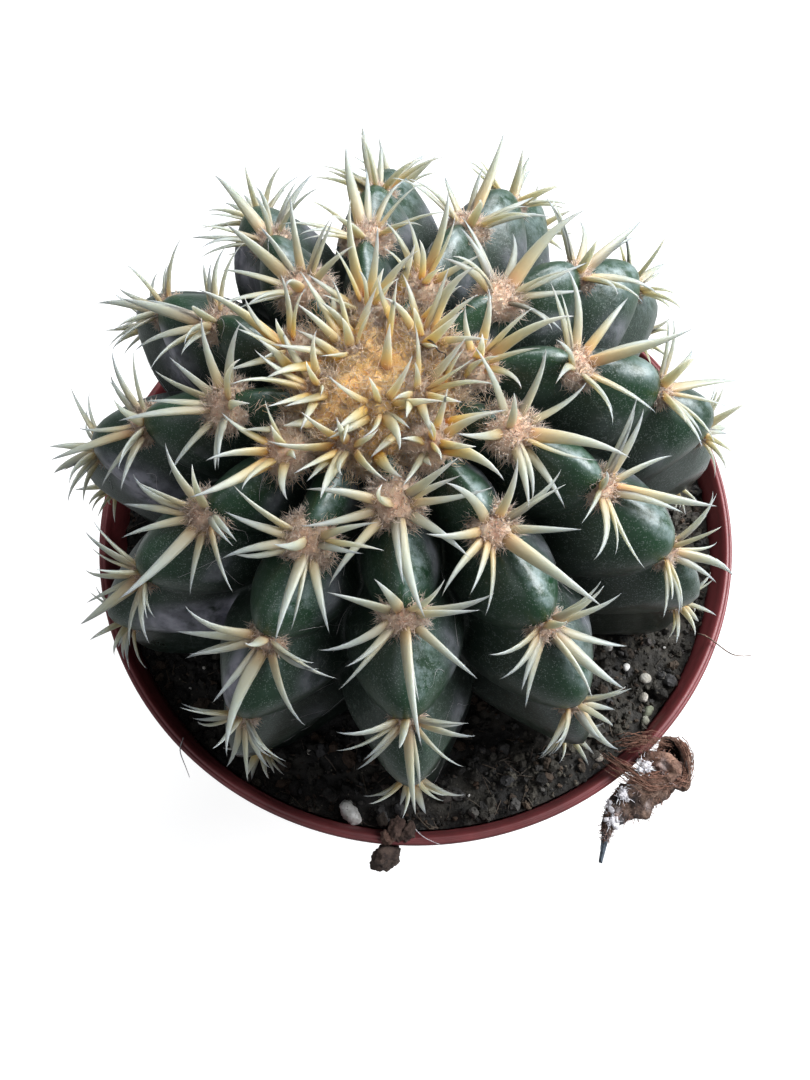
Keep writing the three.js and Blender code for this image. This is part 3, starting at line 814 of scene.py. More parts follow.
def grain_effect():
    """A bumpy normal from fine noise."""
    board, inputs, result = effect("grain", "Vector", Scale=1000.0, Depth=0.0001, Strength=0.5)
    texture = board.add("TexNoise", {"Vector": board.place(), "Scale": inputs["Scale"], "Detail": 6.0})
    sockets = {"Height": texture.outputs["Fac"], "Distance": inputs["Depth"], "Strength": inputs["Strength"]}
    board.join(result, board.add("Bump", sockets).outputs[0])
    return board.tree


def strand_effect():
    """A mask of fine curled strands, full along them and empty in the gaps, where the wool gets painted
    shade.
    """
    board, inputs, result = effect("strands", "Float", Scale=1000.0, Curl=1.5, Width=0.06)
    masks = []
    for finer in (1.0, 1.6):
        sockets = {
            "Vector": board.place(),
            "Scale": board.times(inputs["Scale"], finer),
            "Detail": 1.5,
            "Distortion": inputs["Curl"],
        }
        texture = board.add("TexNoise", sockets).outputs["Fac"]
        off = board.calc("ABSOLUTE", board.calc("SUBTRACT", texture, 0.5))
        masks.append(board.remap(off, 0.0, inputs["Width"], 1.0, 0.0))
    board.join(result, board.calc("MAXIMUM", masks[0], masks[1]))
    return board.tree


MOTTLE = mottle_effect()
STRANDS = strand_effect()
SPECKS = speck_effect()
GRAIN = grain_effect()


def finish_of(name, paint, **plain):
    """A material: paint(board) gives the linked sockets, and plain the values that never change over it."""
    material = bpy.data.materials.new(name)
    material.use_nodes = True
    shader = material.node_tree.nodes["Principled BSDF"]
    board = Board(material.node_tree)
    for socket_name, value in plain.items():
        board.join(shader.inputs[socket_name.replace("_", " ")], value)
    for socket_name, value in paint(board).items():
        board.join(shader.inputs[socket_name], value)
    return material


DEEP_GREEN, FRESH_GREEN = (0.008, 0.026, 0.013), (0.016, 0.050, 0.023)
NOSE_GREEN = (0.010, 0.052, 0.017)
# Painted shade, darker towards the soil
LOW_SHADE_GREEN = (0.003, 0.009, 0.006)
# Painted shade, darker into the furrows
FURROW_SHADE_GREEN = (0.003, 0.010, 0.006)
# The painted highlight's colour
HIGHLIGHT_BLUE = (0.22, 0.28, 0.28)
WEB = (0.16, 0.18, 0.17)
SPECK = (0.20, 0.24, 0.22)
# Grey patch colours, also laid on lit flanks as a painted sheen
DARK_BARK_AND_SHEEN, PALE_BARK_AND_SHEEN = (0.10, 0.10, 0.125), (0.30, 0.295, 0.345)
# Painted shade: between these heights the skin darkens towards the soil
LOW_SHADE_FULL = 0.100
LOW_SHADE_END = 0.134  # metres above the ground


def skin_paint(board):
    across, along, grey, painted_highlight = board.marks()
    green = board.use(MOTTLE, First=DEEP_GREEN, Second=FRESH_GREEN, Scale=75.0, Edge=0.2)
    green = board.blend(board.remap(along, 0.4, 0.9, 0.0, 0.7), green, NOSE_GREEN)
    # Painted highlight: pale blue-grey streaks where the skin faces the lamp
    highlight_streaks = board.remap(board.noise(2.2, 6.0, 0.7, (1.0, 1.0, 0.4)), 0.41, 0.63)
    green = board.cover(green, board.times(painted_highlight, highlight_streaks), 0.85, HIGHLIGHT_BLUE)
    # Painted shade, darker towards the soil
    height = board.add("SeparateXYZ", {"Vector": board.place()}).outputs["Z"]
    green = board.blend(board.remap(height, LOW_SHADE_FULL, LOW_SHADE_END, 0.9, 0.0), green, LOW_SHADE_GREEN)
    # Painted shade, darker from the ridge into the furrow
    green = board.blend(board.remap(across, 0.22, 0.8, 0.0, 0.93), green, FURROW_SHADE_GREEN)
    lines = board.calc("ABSOLUTE", board.calc("SUBTRACT", board.noise(5.0, 3.0, 0.6), 0.5))
    threads = board.calc("LESS_THAN", lines, 0.004)
    green = board.cover(green, threads, board.remap(across, 0.1, 0.7, 0.1, 0.4), WEB)
    bark_and_sheen = board.use(MOTTLE, First=DARK_BARK_AND_SHEEN, Second=PALE_BARK_AND_SHEEN, Scale=420.0, Edge=0.12)
    # The grey mark holds the real grey patches and a painted sheen on the lit flanks
    patch = board.times(grey, board.remap(board.noise(3.2, 5.0), 0.28, 0.44))
    green = board.blend(patch, green, bark_and_sheen)
    crowd = board.remap(board.noise(3.5, 4.0), 0.35, 0.62, 0.3, 0.95)
    fine = board.use(SPECKS, Scale=4800.0, Size=0.5, Share=crowd)
    middling = board.use(SPECKS, Scale=2700.0, Size=0.26, Share=0.4)
    speck = board.calc("MAXIMUM", board.times(fine, 0.5), board.times(middling, 0.42))
    speck = board.times(speck, board.remap(across, 0.5, 1.0, 1.0, 0.45))
    speck = board.times(speck, board.remap(patch, 0.0, 1.0, 1.0, 0.2))
    green = board.blend(speck, green, SPECK)
    rough = board.remap(board.noise(4.0), 0.3, 0.7, 0.26, 0.38)
    rough = board.calc("ADD", rough, board.remap(across, 0.3, 0.8, 0.0, 0.25))
    rough = board.calc("ADD", rough, board.times(speck, 0.4))
    normal = board.use(GRAIN, Scale=2100.0, Depth=0.00012, Strength=0.5)
    return {"Base Color": green, "Roughness": rough, "Normal": normal}


PALE_SPINE = [
    (0.0, (0.42, 0.17, 0.05)),
    (0.1, (0.50, 0.31, 0.14)),
    (0.24, (0.375, 0.335, 0.245)),
    (0.55, (0.305, 0.335, 0.30)),
    (1.0, (0.35, 0.385, 0.375)),
]  # from the root to the tip
WARM_SPINE = [
    (0.0, (0.50, 0.05, 0.025)),
    (0.12, (0.64, 0.15, 0.025)),
    (0.24, (0.70, 0.33, 0.03)),
    (0.4, (0.54, 0.38, 0.13)),
    (0.62, (0.38, 0.375, 0.265)),
    (1.0, (0.37, 0.405, 0.38)),
]
HORN = (0.31, 0.34, 0.26)
HORN_STREAK = (0.30, 0.27, 0.18)


def spine_paint(board):
    share, warmth, tone, _ = board.marks()
    colour = board.blend(warmth, board.ramp(share, PALE_SPINE), board.ramp(share, WARM_SPINE))
    colour = board.cover(colour, tone, 0.3, HORN)
    streak = board.remap(board.noise(0.7, 3.0), 0.35, 0.75, 0.0, 0.2)
    colour = board.blend(streak, colour, HORN_STREAK)
    normal = board.use(GRAIN, Scale=2600.0, Depth=0.00008, Strength=0.35)
    return {"Base Color": colour, "Normal": normal}


TAN = [(0.0, (0.82, 0.50, 0.29)), (0.4, (0.97, 0.68, 0.45)), (1.0, (0.98, 0.79, 0.60))]
OCHRE = [(0.0, (0.76, 0.35, 0.05)), (0.4, (0.93, 0.49, 0.09)), (1.0, (0.95, 0.63, 0.20))]
ROSY_WOOL = (0.94, 0.66, 0.54)
RUSTY_WOOL = (0.80, 0.38, 0.22)
# Painted shade for the gaps between strands
WOOL_GAP_SHADE = (0.46, 0.22, 0.10)
WOOL_STAIN = (0.48, 0.26, 0.14)


def wool_paint(board):
    share, middle, tone, crown = board.marks()
    colour = board.blend(crown, board.ramp(share, TAN), board.ramp(share, OCHRE))
    colour = board.cover(colour, tone, 0.5, ROSY_WOOL)
    colour = board.blend(board.remap(middle, 0.45, 1.0, 0.0, 0.6), colour, RUSTY_WOOL)
    strands = board.use(STRANDS, Scale=950.0, Curl=2.0, Width=0.05)
    # Painted shade: the colour darkens in the gaps between the strands
    gaps = board.blend(0.2, colour, WOOL_GAP_SHADE)
    colour = board.blend(board.remap(strands, 0.0, 0.8), gaps, colour)
    colour = board.blend(board.remap(board.noise(2.4, 3.0), 0.62, 0.8, 0.0, 0.1), colour, WOOL_STAIN)
    normal = board.add("Bump", {"Height": strands, "Distance": 0.0004, "Strength": 0.8}).outputs[0]
    return {"Base Color": colour, "Normal": normal}


DARK_PEAT, PALE_PEAT = (0.003, 0.0026, 0.0022), (0.011, 0.009, 0.0075)
# The pale peat colour holds random tone and, towards the lit side, painted light
DRY_AND_LIT_PEAT = (0.11, 0.097, 0.074)
WARM_PEAT = (0.075, 0.040, 0.022)
GREY_PEAT = (0.062, 0.060, 0.062)
PEAT_DUST = (0.15, 0.13, 0.10)


def soil_paint(board):
    tone, warm, grey, _ = board.marks()
    dark = board.use(MOTTLE, First=DARK_PEAT, Second=PALE_PEAT, Scale=520.0, Edge=0.2)
    # Tone and grey hold random variation and painted light, more of both on the lit side
    colour = board.blend(tone, dark, DRY_AND_LIT_PEAT)
    colour = board.cover(colour, warm, 0.6, WARM_PEAT)
    colour = board.cover(colour, grey, 0.7, GREY_PEAT)
    colour = board.cover(colour, board.use(SPECKS, Scale=1700.0, Size=0.35, Share=0.08), 0.6, PEAT_DUST)
    rough = board.remap(board.noise(1.4), 0.3, 0.7, 0.75, 1.0)
    normal = board.use(GRAIN, Scale=1900.0, Depth=0.0005, Strength=0.9)
    return {"Base Color": colour, "Roughness": rough, "Normal": normal}


GREY_STONE, WHITE_STONE = (0.42, 0.41, 0.39), (0.68, 0.67, 0.66)
WARM_STONE = (0.30, 0.22, 0.13)
GREEN_STONE = (0.10, 0.12, 0.06)
STONE_PIT = (0.12, 0.10, 0.09)


def stone_paint(board):
    warm, green, _, _ = board.marks()
    colour = board.use(MOTTLE, First=GREY_STONE, Second=WHITE_STONE, Scale=900.0, Edge=0.15)
    colour = board.cover(colour, warm, 0.7, WARM_STONE)
    colour = board.blend(green, colour, GREEN_STONE)
    colour = board.cover(colour, board.use(SPECKS, Scale=2600.0, Size=0.45, Share=0.35), 0.6, STONE_PIT)
    normal = board.use(GRAIN, Scale=2400.0, Depth=0.0003, Strength=0.8)
    return {"Base Color": colour, "Normal": normal}


DEEP_RED, FRESH_RED = (0.145, 0.026, 0.028), (0.195, 0.039, 0.042)
SCUFFED_RED = (0.34, 0.12, 0.12)
DUSTY_RED = (0.10, 0.05, 0.04)
# Painted shade: a darker red in patches on the front of the rim
FRONT_SHADE_RED = (0.062, 0.020, 0.020)
FRONT_SHADE_START, FRONT_SHADE_FULL = -0.035, -0.056  # metres in front of the pot's axis
FRONT_SHADE_LOW, FRONT_SHADE_HIGH = 0.088, 0.093  # metres above the ground


def pot_paint(board):
    red = board.use(MOTTLE, First=DEEP_RED, Second=FRESH_RED, Scale=45.0, Edge=0.2)
    scuff = board.remap(board.noise(2.4, 7.0, 0.7, (1.0, 1.0, 4.0)), 0.58, 0.76, 0.0, 0.3)
    red = board.blend(scuff, red, SCUFFED_RED)
    red = board.cover(red, board.use(SPECKS, Scale=900.0, Size=0.25, Share=0.12), 0.6, DUSTY_RED)
    # Painted shade on the front of the rim, in patches
    split = board.add("SeparateXYZ", {"Vector": board.place()})
    front = board.remap(split.outputs["Y"], FRONT_SHADE_START, FRONT_SHADE_FULL, 0.0, 0.65)
    front = board.times(front, board.remap(split.outputs["Z"], FRONT_SHADE_LOW, FRONT_SHADE_HIGH))
    red = board.cover(red, front, board.remap(board.noise(5.0, 5.0), 0.32, 0.62, 0.3, 1.0), FRONT_SHADE_RED)
    rough = board.remap(board.noise(6.0, 6.0), 0.3, 0.7, 0.34, 0.52)
    normal = board.use(GRAIN, Scale=800.0, Depth=0.0001, Strength=0.35)
    return {"Base Color": red, "Roughness": rough, "Normal": normal}


DARK_FELT, PALE_FELT = (0.065, 0.036, 0.026), (0.24, 0.155, 0.115)
RED_FELT = (0.33, 0.15, 0.10)
BLACK_FELT = (0.010, 0.007, 0.007)
WHITE_FELT = (0.80, 0.78, 0.82)
BLUE_FELT = (0.075, 0.095, 0.12)


def felt_paint(board):
    dark, pale, red, blue = board.marks()
    brown = board.use(MOTTLE, First=DARK_FELT, Second=PALE_FELT, Scale=900.0, Edge=0.12)
    brown = board.cover(brown, red, 0.8, RED_FELT)
    # The dark and pale marks hold real felt colours and, inside the withered cup, painted shade and light
    for mask, colour in ((dark, BLACK_FELT), (pale, WHITE_FELT), (blue, BLUE_FELT)):
        brown = board.blend(mask, brown, colour)
    normal = board.use(GRAIN, Scale=1500.0, Depth=0.0005, Strength=0.9)
    return {"Base Color": brown, "Normal": normal}


FLOOR_GREY, FLOOR_PALE = (0.34, 0.34, 0.34), (0.36, 0.36, 0.36)
FLOOR_GLOW = 0.86


def floor_paint(board):
    colour = board.use(MOTTLE, First=FLOOR_GREY, Second=FLOOR_PALE, Scale=20.0, Edge=0.3)
    seen = board.add("LightPath").outputs["Is Camera Ray"]
    return {"Base Color": colour, "Emission Strength": board.times(seen, FLOOR_GLOW)}


SKIN = finish_of("waxy_skin", skin_paint, Coat_Weight=0.1, Coat_Roughness=0.22)
SPINE = finish_of(
    "ivory_spine",
    spine_paint,
    Roughness=0.42,
    Subsurface_Weight=0.8,
    Subsurface_Scale=0.003,
    Subsurface_Radius=(1.0, 0.92, 0.7),
)
WOOL = finish_of(
    "tan_wool",
    wool_paint,
    Roughness=0.95,
    Sheen_Weight=0.9,
    Sheen_Roughness=0.6,
    Sheen_Tint=(1.0, 0.84, 0.72, 1.0),
    Subsurface_Weight=0.5,
    Subsurface_Scale=0.0015,
    Subsurface_Radius=(1.0, 0.75, 0.5),
)
SOIL = finish_of("dark_soil", soil_paint)
STONE = finish_of("pale_grain", stone_paint, Roughness=0.9)
POT = finish_of("terracotta_plastic", pot_paint)
FELT = finish_of("dried_felt", felt_paint, Roughness=0.95)
PALE_FLOOR = finish_of("pale_floor", floor_paint, Roughness=0.9, Emission_Color=(1.0, 1.0, 1.0))


# Pot


def pot_profile():
    """The wall's section from the middle of the base, up the outside, over the lip and down the inside."""
    low_lip = POT_HEIGHT - LIP_DEPTH
    wall = [(mix(BASE_RADIUS, NECK_RADIUS, s), mix(BASE_ROUND, NECK, s)) for s in np.linspace(0.02, 0.98, 8)]
    collar = []
    for height in (COLLAR_FOOT + 1.4, low_lip - 1.6):
        radius = mix(COLLAR_FOOT_RADIUS, COLLAR_RADIUS, (height - COLLAR_FOOT) / (low_lip - COLLAR_FOOT))
        bottom = (radius - GROOVE_DEPTH, height)
        collar += [(radius, height - GROOVE_HALF), bottom, (radius, height + GROOVE_HALF)]
    inside_low = inner_radius(COLLAR_FOOT)
    return [
        (0.5, BASE_RECESS),
        (BASE_RADIUS - 6.2, BASE_RECESS),
        (BASE_RADIUS - 5.8, 0.0),
        (BASE_RADIUS - BASE_ROUND, 0.0),
        (BASE_RADIUS - 0.4 * BASE_ROUND, 0.25 * BASE_ROUND),
        *wall,
        (NECK_RADIUS, NECK),
        (COLLAR_FOOT_RADIUS - 0.15, COLLAR_FOOT - 0.15),
        (COLLAR_FOOT_RADIUS, COLLAR_FOOT + 0.2),
        *collar,
        (COLLAR_RADIUS, low_lip - 0.1),
        *[(RIM_RADIUS - inside, POT_HEIGHT - below) for inside, below in LIP_SECTION],
        (mix(inside_low, LIP_INSIDE, 0.5), mix(COLLAR_FOOT, POT_HEIGHT, 0.5)),
        (inside_low, COLLAR_FOOT),
        (inner_radius(NECK - WALL), NECK - WALL),
        (inner_radius(FLOOR), FLOOR),
        (0.5, FLOOR),
    ]


def make_pot():
    rings = np.array([circle(radius, height, POT_SIDES) for radius, height in pot_profile()])
    points, faces = capped_grid(rings, (0, 0, BASE_RECESS), (0, 0, FLOOR))
    pot = piece("nursery_pot", (points, faces, None), POT, ["pot"])
    drills = []
    for place in circle(DRAIN_CIRCLE, 0.0, DRAINS):
        bpy.ops.mesh.primitive_cylinder_add(vertices=32, radius=DRAIN_RADIUS * MM, depth=3 * FLOOR * MM)
        drill = bpy.context.object
        drill.location = Vector(place) * MM
        drills.append(drill)
        cut = pot.modifiers.new("drain", "BOOLEAN")
        cut.operation = "DIFFERENCE"
        cut.solver = "EXACT"
        cut.object = drill
    bpy.context.view_layer.update()
    holed = bpy.data.meshes.new_from_object(pot.evaluated_get(bpy.context.evaluated_depsgraph_get()))
    pot.modifiers.clear()
    pot.data = holed
    for drill in drills:
        bpy.data.objects.remove(drill)


# Soil


def heap_share(azimuth, radius, full):
    """How much of the heap at the front stands at each place."""
    return np.exp(-(((azimuth - HEAP_SIDE) / HEAP_REACH) ** 2)) * fade(HEAP_START, full, radius)


def soil_height(points):
    """The bed's height at places given as x and y."""
    radius, azimuth = flat_radius(points), azimuth_of(points)
    flat = points * [1, 1, 0]
    tilt = SOIL_TILT * radius * np.cos(azimuth - SOIL_HIGH_SIDE) / RIM_RADIUS
    lumps = bumps(flat, *SOIL_LUMPS) + bumps(flat + 50, *SOIL_CRUMBLE)
    edge = -EDGE_DROP * fade(*SOIL_EDGE, radius)
    return SOIL_LEVEL + tilt + lumps + edge + HEAP_HEIGHT * heap_share(azimuth, radius, HEAP_FULL)


def make_soil():
    heights = (FLOOR + GAP, NECK - WALL, COLLAR_FOOT + GAP)
    rings = [circle(inner_radius(height) - GAP, height, SOIL_COLUMNS) for height in heights]
    for radius in np.linspace(inner_radius(SOIL_LEVEL) - GAP, BED_INSIDE, BED_RINGS):
        ring = circle(radius, SOIL_LEVEL, SOIL_COLUMNS)
        ring[:, 2] = soil_height(ring)
        rings.append(ring)
    rings.append(circle(BED_MIDDLE, SOIL_LEVEL - 2, SOIL_COLUMNS))
    points, faces = capped_grid(np.array(rings), (0, 0, FLOOR + GAP), (0, 0, SOIL_LEVEL - 3))
    # Painted light: the bed gets lighter and greyer towards the lit side
    side = np.cos(azimuth_of(points) - PAINTED_LIGHT_SIDE)
    light = np.clip(bumps(points, *BED_TONE) + 0.04 + 0.16 * side, 0, 1)
    grey = np.clip(bumps(points + 90, *BED_GREY) * 0.4 * (1 + side), 0, 1)
    piece("soil_bed", marked(points, faces, light, 0, grey), SOIL, ["soil"])


def bed_places(count, keep_off=0.6):
    """Places on the soil between the stem and the pot's wall."""
    tries = PLACE_TRIES * count
    angles = rng.uniform(0, TURN, tries)
    outer = inner_radius(SOIL_LEVEL) - PLACES_EDGE
    places = around(np.sqrt(rng.uniform(PLACES_INSIDE**2, outer**2, tries)), angles, SOIL_LEVEL)
    places = places[skin_height(lean_back(places + [0, 0, 1.0])) > keep_off][:count]
    places[:, 2] = soil_height(places)
    return places


def make_crumbs():
    shapes = []
    for detail, count, low, high, roughness in CRUMBS:
        places = bed_places(count)
        count = len(places)
        sizes = rng.uniform(low, high, count) * rng.uniform(*CRUMB_VARIETY, count)
        places[:, 2] += sizes * rng.uniform(*CRUMB_SINK, count)
        azimuth = azimuth_of(places)
        # Painted light: crumbs are lighter, and more often grey, towards the lit side
        side = np.cos(azimuth - PAINTED_LIGHT_SIDE)
        tone_and_painted_light = np.clip(rng.normal(*CRUMB_TONE, count) + 0.22 * np.maximum(side, -0.2), 0, 1)
        heap = heap_share(azimuth, flat_radius(places), HEAP_CRUMBS_FULL)
        tone_and_painted_light = np.clip(tone_and_painted_light + heap * rng.uniform(*HEAP_TONE, count), 0, 1)
        warm = some(count, WARM_CRUMBS)
        grey = some(count, GREY_CRUMBS * (1 + side))
        points, faces, _ = lumps_at(places, sizes, lump_form(detail), roughness)
        shapes.append(marked(points, faces, tone_and_painted_light, warm, grey))
    piece("soil_crumbs", joined(shapes), SOIL, smooth=False)


def make_stones():
    own = np.array(STONES)
    scattered = bed_places(SMALL_STONES, 1.2)
    places = np.concatenate([own[:, :3], scattered])  # heights follow
    places[:, 2] = soil_height(places)
    sizes = np.append(own[:, 2], rng.uniform(*SMALL_STONE_SIZES, len(scattered)))
    warm = np.append(own[:, 3], rng.uniform(*SMALL_STONE_WARMTH, len(scattered)))
    green = np.append(own[:, 4], np.zeros(len(scattered)))
    places[:, 2] += 0.5 * sizes
    points, faces, outward = lumps_at(places, sizes, lump_form(3), 0.0)
    swell = bumps(points, *STONE_RELIEF) * np.repeat(sizes, len(points) // len(sizes))
    points = points + outward * swell[:, None]
    piece("pale_grains", marked(points, faces, warm, green), STONE)


def make_peat_threads():
    places = bed_places(PEAT_THREADS, 0.8)
    count = len(places)
    angles = rng.uniform(0, TURN, count)
    ways = around(1.0, angles, rng.uniform(*PEAT_SLOPES, count))[:, None]
    lengths = rng.uniform(*PEAT_LENGTHS, count)
    bends = (on_sphere(count) * lengths[:, None] * PEAT_BEND)[:, None]
    s = np.linspace(0, 1, PEAT_STEPS)[None, :, None]
    paths = places[:, None] + ways * lengths[:, None, None] * (s - 0.5) + bends * s**2
    paths[..., 2] += PEAT_LIFT
    limit = inner_radius(SOIL_LEVEL) - 0.5
    paths[..., :2] *= np.minimum(1, limit / flat_radius(paths))[..., None]
    halves = rng.uniform(*PEAT_HALVES, count)[:, None] * (1 - np.linspace(0, 0.6, PEAT_STEPS))[None]
    points, faces, _ = tubes(paths, halves, 4, 0.7, np.broadcast_to([0.0, 0.0, 1.0], (count, 3)))
    warm = rng.uniform(0.4, 1, count)
    grey = rng.uniform(0, 0.5, count)
    piece("peat_threads", marked(points, faces, 0.6, warm, grey), SOIL)


# Stem


def rib_columns(rib, angle):
    """The skin from one ridge, into the furrow and up to the next ridge, and for each of its points the way
    across from its own ridge, the way along its tubercle and its azimuth."""
    after = (rib + 1) % RIBS
    ridge, furrow = ridge_azimuth(rib, angle), furrow_azimuth(rib, angle)
    next_ridge = ridge_azimuth(after, angle) + (TURN if after == 0 else 0)
    shares = np.arange(RIB_COLUMNS) / RIB_COLUMNS
    columns = [(rib, share, mix(ridge, furrow, share)) for share in shares]
    columns += [(after, 1 - share, mix(furrow, next_ridge, share)) for share in shares]
    points, marks = [], []
    for own, across, azimuth in columns:
        points.append(stem_point(azimuth, angle, fine_factor(own, angle, across)))
        marks.append(np.stack([np.full_like(angle, across), along_rib(own, angle), azimuth], -1))
    return np.stack(points, 1), np.stack(marks, 1)


def relief(points):
    """The slight unevenness of the skin."""
    return points + unit(points) * (bumps(points, *RELIEF) + bumps(points + 30, *FINE_RELIEF))[:, None]


def make_stem():
    angle = spiral_angle(np.linspace(spiral_place(STEM_LOW), spiral_place(STEM_TOP), STEM_ROWS))
    grids = [rib_columns(rib, angle) for rib in range(RIBS)]
    rings, marks = (np.concatenate(part, 1) for part in zip(*grids))
    across, along, azimuth = np.moveaxis(marks, -1, 0)
    rings = relief(rings.reshape(-1, 3)).reshape(rings.shape)
    upward = np.gradient(rings, axis=0)
    sideways = np.roll(rings, -1, 1) - np.roll(rings, 1, 1)
    # How far each point faces the lamp, for the painted highlight and a painted grey sheen on the flanks
    lit = unit(np.cross(sideways, upward)) @ LEAN.T @ unit(HIGHLIGHT_WAY)
    painted_highlight = fade(*HIGHLIGHT_FACING, lit) * fade(*HIGHLIGHT_EDGE, across)
    grey = np.zeros(azimuth.shape)
    for spot_azimuth, spot_angle, wide, high in GREY_PATCHES:
        offset = (np.degrees(azimuth) - spot_azimuth + 180) % 360 - 180
        distance = np.hypot(offset / wide, (angle[:, None] - spot_angle) / high)
        grey = np.maximum(grey, fade(*GREY_EDGE, distance))
    # Painted sheen: the grey of the patches, laid on the middle of the flanks where they face the lamp
    band = fade(0.5, 0.6, across) * fade(0.8, 0.7, across) * fade(0.2, 0.5, along) * fade(1.0, 0.8, along)
    grey = np.maximum(grey, 0.4 * band * fade(0.35, 0.75, lit))
    marks = np.stack([across, along, grey, painted_highlight], -1).reshape(-1, 4)
    low = stem_point(0.0, STEM_LOW, 1.0)[2] - FOOT_DROP
    foot = rings[:1] * FOOT_SHARE
    foot[..., 2] = low
    points, faces = capped_grid(np.concatenate([foot, rings]), (0, 0, low), stem_point(0.0, 90.0, 1.0))
    marks = np.concatenate([marks[: rings.shape[1]], marks, np.zeros((2, 4))])
    piece("cactus_skin", (stand(points), faces, marks), SKIN, ["cactus_body"])


def make_cobwebs():
    """Fine pale threads that cling to the skin between the ribs."""
    s = np.linspace(0, 1, WEB_STEPS)
    paths = []
    for _ in range(COBWEBS):
        rib = int(rng.integers(RIBS))
        start_angle, start_across = rng.uniform(*WEB_ANGLES), rng.uniform(*WEB_PLACES)
        angle = start_angle + rng.uniform(-WEB_RISE, WEB_RISE) * s + 1.5 * np.sin(s * rng.uniform(2, 6))
        across = np.clip(start_across + rng.uniform(-WEB_SWING, WEB_SWING) * s, 0.02, 1)
        path = skin_point(rib, angle, across, fine_factor)
        paths.append(relief(path) + unit(path) * (0.08 + 0.5 * np.sin(math.pi * s)[:, None] * rng.random()))
    halves = rng.uniform(*WEB_HALVES, COBWEBS)[:, None] * np.linspace(1, 0.3, WEB_STEPS)[None]
    points, faces, _ = tubes(paths, halves, 3, 1.0, unit(np.array(paths)[:, 4]))
    piece("cobweb_threads", marked(stand(points), faces, 0, 0.6), FELT)


# Spines


def spine_mesh(spines):
    """Flattened daggers, widest near the root, that arch over and bend in at the tip."""
    count = len(spines)
    keys = ("root", "reach", "width")
    roots, reaches, widths = (np.array([spine[key] for spine in spines]) for key in keys)
    outs = np.array([spine["spot"]["axes"][2] for spine in spines])
    levels = [spine["spot"]["level"] for spine in spines]
    lengths = np.linalg.norm(reaches, axis=1)
    side = unit(np.cross(reaches, outs))
    top = np.cross(side, reaches / lengths[:, None])
    steepness = np.einsum("ij,ij->i", reaches, outs) / lengths
    arches = lengths * rng.uniform(*SPINE_ARCH, count) * (1 - 0.6 * fade(0.45, 0.9, steepness))
    arch = arches[:, None] * top
    aside = (lengths * rng.normal(0, SPINE_ASIDE, count))[:, None] * side
    s = SPINE_STEPS[None, :, None]
    bow = SPINE_BOW * s**1.25 * (1 - s) ** 0.85
    paths = roots[:, None] + reaches[:, None] * s + (arch + aside)[:, None] * bow
    profile = (1 - SPINE_STEPS**1.7) ** 0.95 * (0.84 + 0.16 * np.clip(SPINE_STEPS / 0.15, 0, 1))
    halves = SPINE_HALF * widths[:, None] * profile[None]
    twist = unit(outs + SPINE_TWIST * rng.normal(size=(count, 1)) * side)
    points, faces, _ = tubes(paths, halves, SPINE_SIDES, SPINE_FLATNESS, twist)
    shares = np.tile(np.append(np.repeat(SPINE_STEPS[:-1], SPINE_SIDES), 1.0), count)
    warmth = np.clip(np.interp(levels, WARMTH_LEVELS, WARMTH) + rng.normal(0, WARMTH_SPREAD, count), 0, 1)
    return marked(points, faces, shares, warmth, rng.random(count))


# Wool


def ellipsoid(size, tilt, turn):
    """Points of an ellipsoid, by their tilt from its top and their turn."""
    return size * around(np.sin(tilt), turn, np.cos(tilt))


def wool_reach(spot):
    wobble = 1 + WOOL_WOBBLE * draw(spot["rib"], spot["level"], WOOL_DRAW)
    return np.interp(spot["angle"], WOOL_ANGLES, WOOL_REACHES) * wobble


def dome(spot, size):
    """A lumpy felt pad on an areole."""
    local = ellipsoid(size, np.linspace(PAD_FOOT, PAD_TOP, PAD_ROWS)[:, None], turns(PAD_COLUMNS))
    offset = 20 * spot["rib"] + 7 * spot["level"]
    lumps = 1 + bumps(local.reshape(-1, 3) + offset, *PAD_LUMPS).reshape(PAD_ROWS, PAD_COLUMNS, 1)
    rings = spot["place"] + (local * lumps) @ spot["axes"]
    if np.linalg.det(spot["axes"]) < 0:
        rings = rings[:, ::-1]
    height = spot["axes"][2] * size[2]
    return capped_grid(rings, spot["place"] - 0.3 * height, spot["place"] + height)


def fibres_on(spot, size, count, crown):
    """Wool standing out of a pad, thickest in the middle and combed outwards at its edge."""
    turn = rng.uniform(0, TURN, count)
    spread = np.sqrt(rng.random(count))
    local = ellipsoid(size, spread * FIBRE_FOOT, turn)
    roots = spot["place"] + (ROOT_SHARE * local) @ spot["axes"]
    way = unit((unit(local / size**2) * 0.9) @ spot["axes"] + 0.8 * on_sphere(count))
    lengths = rng.uniform(*FIBRE_LENGTHS, count) * (0.4 + 0.36 * wool_reach(spot))
    points, faces, shares = curly(roots, way, lengths, rng.uniform(*FIBRE_HALVES, count), 3)
    middle = np.clip(1.0 - 1.6 * spread + rng.normal(0, 0.12, count), 0, 1)
    return marked(points, faces, shares, middle, rng.random(count), crown)


def pads_of(spots):
    return [shape for spot in spots for shape in pad_of(spot)]


def pad_of(spot):
    size = wool_reach(spot) * PAD_SHAPE
    crown = OCHRE_PADS.get(spot["level"], 0.0)
    points, faces = dome(spot, FELT_SHARE * size)
    flat = (points - spot["place"]) @ spot["axes"][:2].T
    middle = np.clip(1.0 - flat_radius(flat) / size[1], 0, 1)
    fibres = fibres_on(spot, size, FIBRES[spot["level"]], crown)
    return [marked(points, faces, 0.4, middle, 0.5, crown), fibres]


